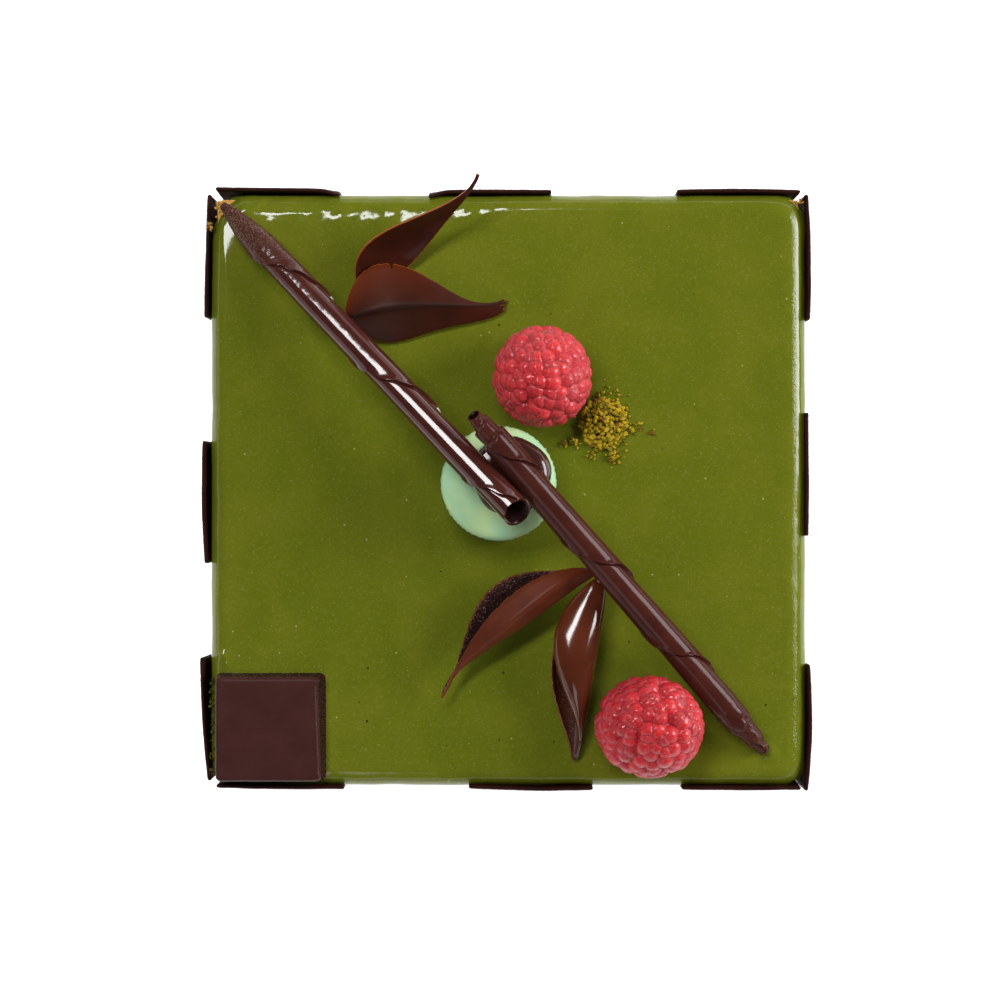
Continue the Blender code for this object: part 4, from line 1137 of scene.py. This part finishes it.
def build_corner_crumbs(cake, crumbs):
    """Sponge crumbs on the worn corners and the plaque beside one, and green ones between the tile and its plaque,
    given a darker copy of the pistachio as painted shade in that gap.
    """
    rng = np.random.default_rng(19)
    ledge = TOP - TOP_THICK
    spots = []
    for x, y, z, spread_x, spread_y, count in WORN_SPOTS:
        for k in range(count):
            spots.append((x + rng.uniform(-spread_x, spread_x), y + rng.uniform(-spread_y, spread_y),
                          ledge + z + rng.uniform(0, 0.5), rng.uniform(0.18, 0.42)))
    scatter_grains("sponge_crumbs", spots, rng, cake)
    spots = [(rng.uniform(-70.7, -69.3), rng.uniform(-68.0, -43.5), ledge + rng.uniform(0.3, 1.7),
              rng.uniform(0.16, 0.40)) for k in range(GAP_GRAINS)]
    scatter_grains("gap_crumbs", spots, rng, crumbs)


# Studio

def add_area_light(name, way, distance, size, radiance):
    """A softbox that faces the cake from the direction way. Its first size lies level, across that direction."""
    light = bpy.data.lights.new(name, "AREA")
    light.shape = "RECTANGLE"
    light.size, light.size_y = size
    light.energy = radiance * math.pi * size[0] * size[1]
    lamp = bpy.data.objects.new(name, light)
    bpy.context.scene.collection.objects.link(lamp)
    out = Vector(way).normalized()
    level = Vector((0, 0, 1)).cross(out).normalized()
    turn = Matrix((level, out.cross(level), out)).transposed()
    lamp.matrix_world = Matrix.Translation(Vector((0, 0, TOP * MM)) + out * distance) @ turn.to_4x4()


def from_azimuth(azimuth, elevation):
    """Direction from the cake. Azimuth 0 is +X and 90 is +Y, in degrees."""
    a = math.radians(azimuth)
    e = math.radians(elevation)
    return (math.cos(a) * math.cos(e), math.sin(a) * math.cos(e), math.sin(e))


def build_studio():
    """Camera straight above, glowing paper floor, faint even world light and the softboxes."""
    scene = bpy.context.scene
    scene.view_settings.view_transform = "Standard"
    camera_data = bpy.data.cameras.new("camera")
    camera_data.sensor_width = SENSOR_WIDTH
    camera_data.lens = SENSOR_WIDTH * CAMERA_ABOVE_GLAZE / VIEW_WIDTH_AT_GLAZE
    camera = bpy.data.objects.new("camera", camera_data)
    scene.collection.objects.link(camera)
    camera.location = Vector(CAMERA_AT) * MM
    scene.camera = camera

    floor_mesh = bpy.data.meshes.new("floor")
    floor_mesh.from_pydata([(-3, -3, 0), (3, -3, 0), (3, 3, 0), (-3, 3, 0)], [], [(0, 1, 2, 3)])
    floor = bpy.data.objects.new("floor", floor_mesh)
    scene.collection.objects.link(floor)
    paper = Finish("paper", Roughness=0.9)
    paper.set("Base Color", (0.92, 0.92, 0.92, 1.0))
    paper.set("Emission Color", (1.0, 1.0, 1.0, 1.0))
    paper.set("Emission Strength", PAPER_GLOW)
    floor_mesh.materials.append(paper.material)

    world = bpy.data.worlds.new("studio")
    scene.world = world
    world.use_nodes = True
    background = world.node_tree.nodes["Background"].inputs
    background["Color"].default_value = (1.0, 1.0, 1.0, 1.0)
    background["Strength"].default_value = WORLD_STRENGTH

    add_area_light("key", KEY_WAY, 1.35, (0.80, 0.22), 20.0)
    for name, (azimuth, elevation, distance, size, radiance) in SOFTBOXES.items():
        add_area_light(name, from_azimuth(azimuth, elevation), distance, size, radiance)


def main():
    glaze = finish_glaze()
    side_choc = finish_chocolate("plaque_chocolate", (0.022, 0.0056, 0.0046), (0.036, 0.0088, 0.0070), 0.50, 0.02,
                                 scratch=0.05, sheen=0.04)
    tile_choc = finish_tile()
    stick_choc = finish_chocolate("stick_chocolate", (0.052, 0.012, 0.009), (0.072, 0.017, 0.012), 0.16, 0.006,
                                  rolled=True, sheen=0.08, coat=1.0)
    dull_stick = finish_chocolate("satin_stick", (0.050, 0.012, 0.009), (0.070, 0.017, 0.012), 0.10, 0.005,
                                  rolled=True, sheen=0.13)
    satin_leaf = finish_leaf("satin_leaf", (0.038, 0.0085, 0.0045), (0.056, 0.012, 0.006), 0.30, 0.15, 0.95)
    brushed_leaf = finish_leaf("brushed_leaf", (0.088, 0.0195, 0.0095), (0.118, 0.0265, 0.0115), 0.27, 0.10, 0.30)
    glossy_leaf = finish_leaf("glossy_leaf", (0.068, 0.0155, 0.0072), (0.094, 0.021, 0.009), 0.09, 0.60, 0.35)
    dab_choc = finish_chocolate("dab_chocolate", (0.040, 0.012, 0.009), (0.055, 0.016, 0.011), 0.10, 0.004)

    build_glaze(glaze)
    for number, (name, spec) in enumerate(PLAQUES.items()):
        build_plaque(number, name, spec, side_choc)
    build_tile(tile_choc)
    build_specks("glaze_pinholes", PINHOLES, PINHOLE_RISE, finish_dark_speck())
    build_beads(glaze)
    shell = finish_shell()
    build_shell("lower_shell", "macaron_bottom", SHELL_LOW_FOOT, -1, 51, shell)
    build_filling(finish_filling())
    build_shell("upper_shell", "macaron_top", SHELL_HIGH_FOOT, 1, 54, shell)
    build_dab(dab_choc)
    build_stick(1, STICK_1, stick_choc)
    build_stick(2, STICK_2, dull_stick)
    leaf_finishes = (satin_leaf, satin_leaf, brushed_leaf, glossy_leaf)
    for number, (spec, finish) in enumerate(zip(LEAVES, leaf_finishes), 1):
        build_leaf(number, spec, finish)
    red = finish_berry("berry_red", (0.42, 0.006, 0.014), (0.74, 0.018, 0.022), (0.50, 0.034, 0.054))
    build_berry(1, BERRY_1, 11, red)
    crimson = finish_berry("berry_crimson", (0.36, 0.0025, 0.010), (0.68, 0.007, 0.014), (0.38, 0.010, 0.026))
    build_berry(2, BERRY_2, 12, crimson)
    build_crumbs(finish_crumbs("pistachio", (0.16, 0.140, 0.005), (0.44, 0.30, 0.010), (0.76, 0.55, 0.05)))
    # Painted shade: a darker copy of the pistachio for the crumbs down in the gap by the tile.
    crumbs = finish_crumbs("shaded_pistachio", (0.050, 0.052, 0.006), (0.110, 0.100, 0.012), (0.16, 0.15, 0.03))
    cake = finish_sponge()
    build_corner_crumbs(cake, crumbs)

    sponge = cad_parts["sponge"]
    sponge.data.materials.clear()
    sponge.data.materials.append(cake)
    build_studio()


main()
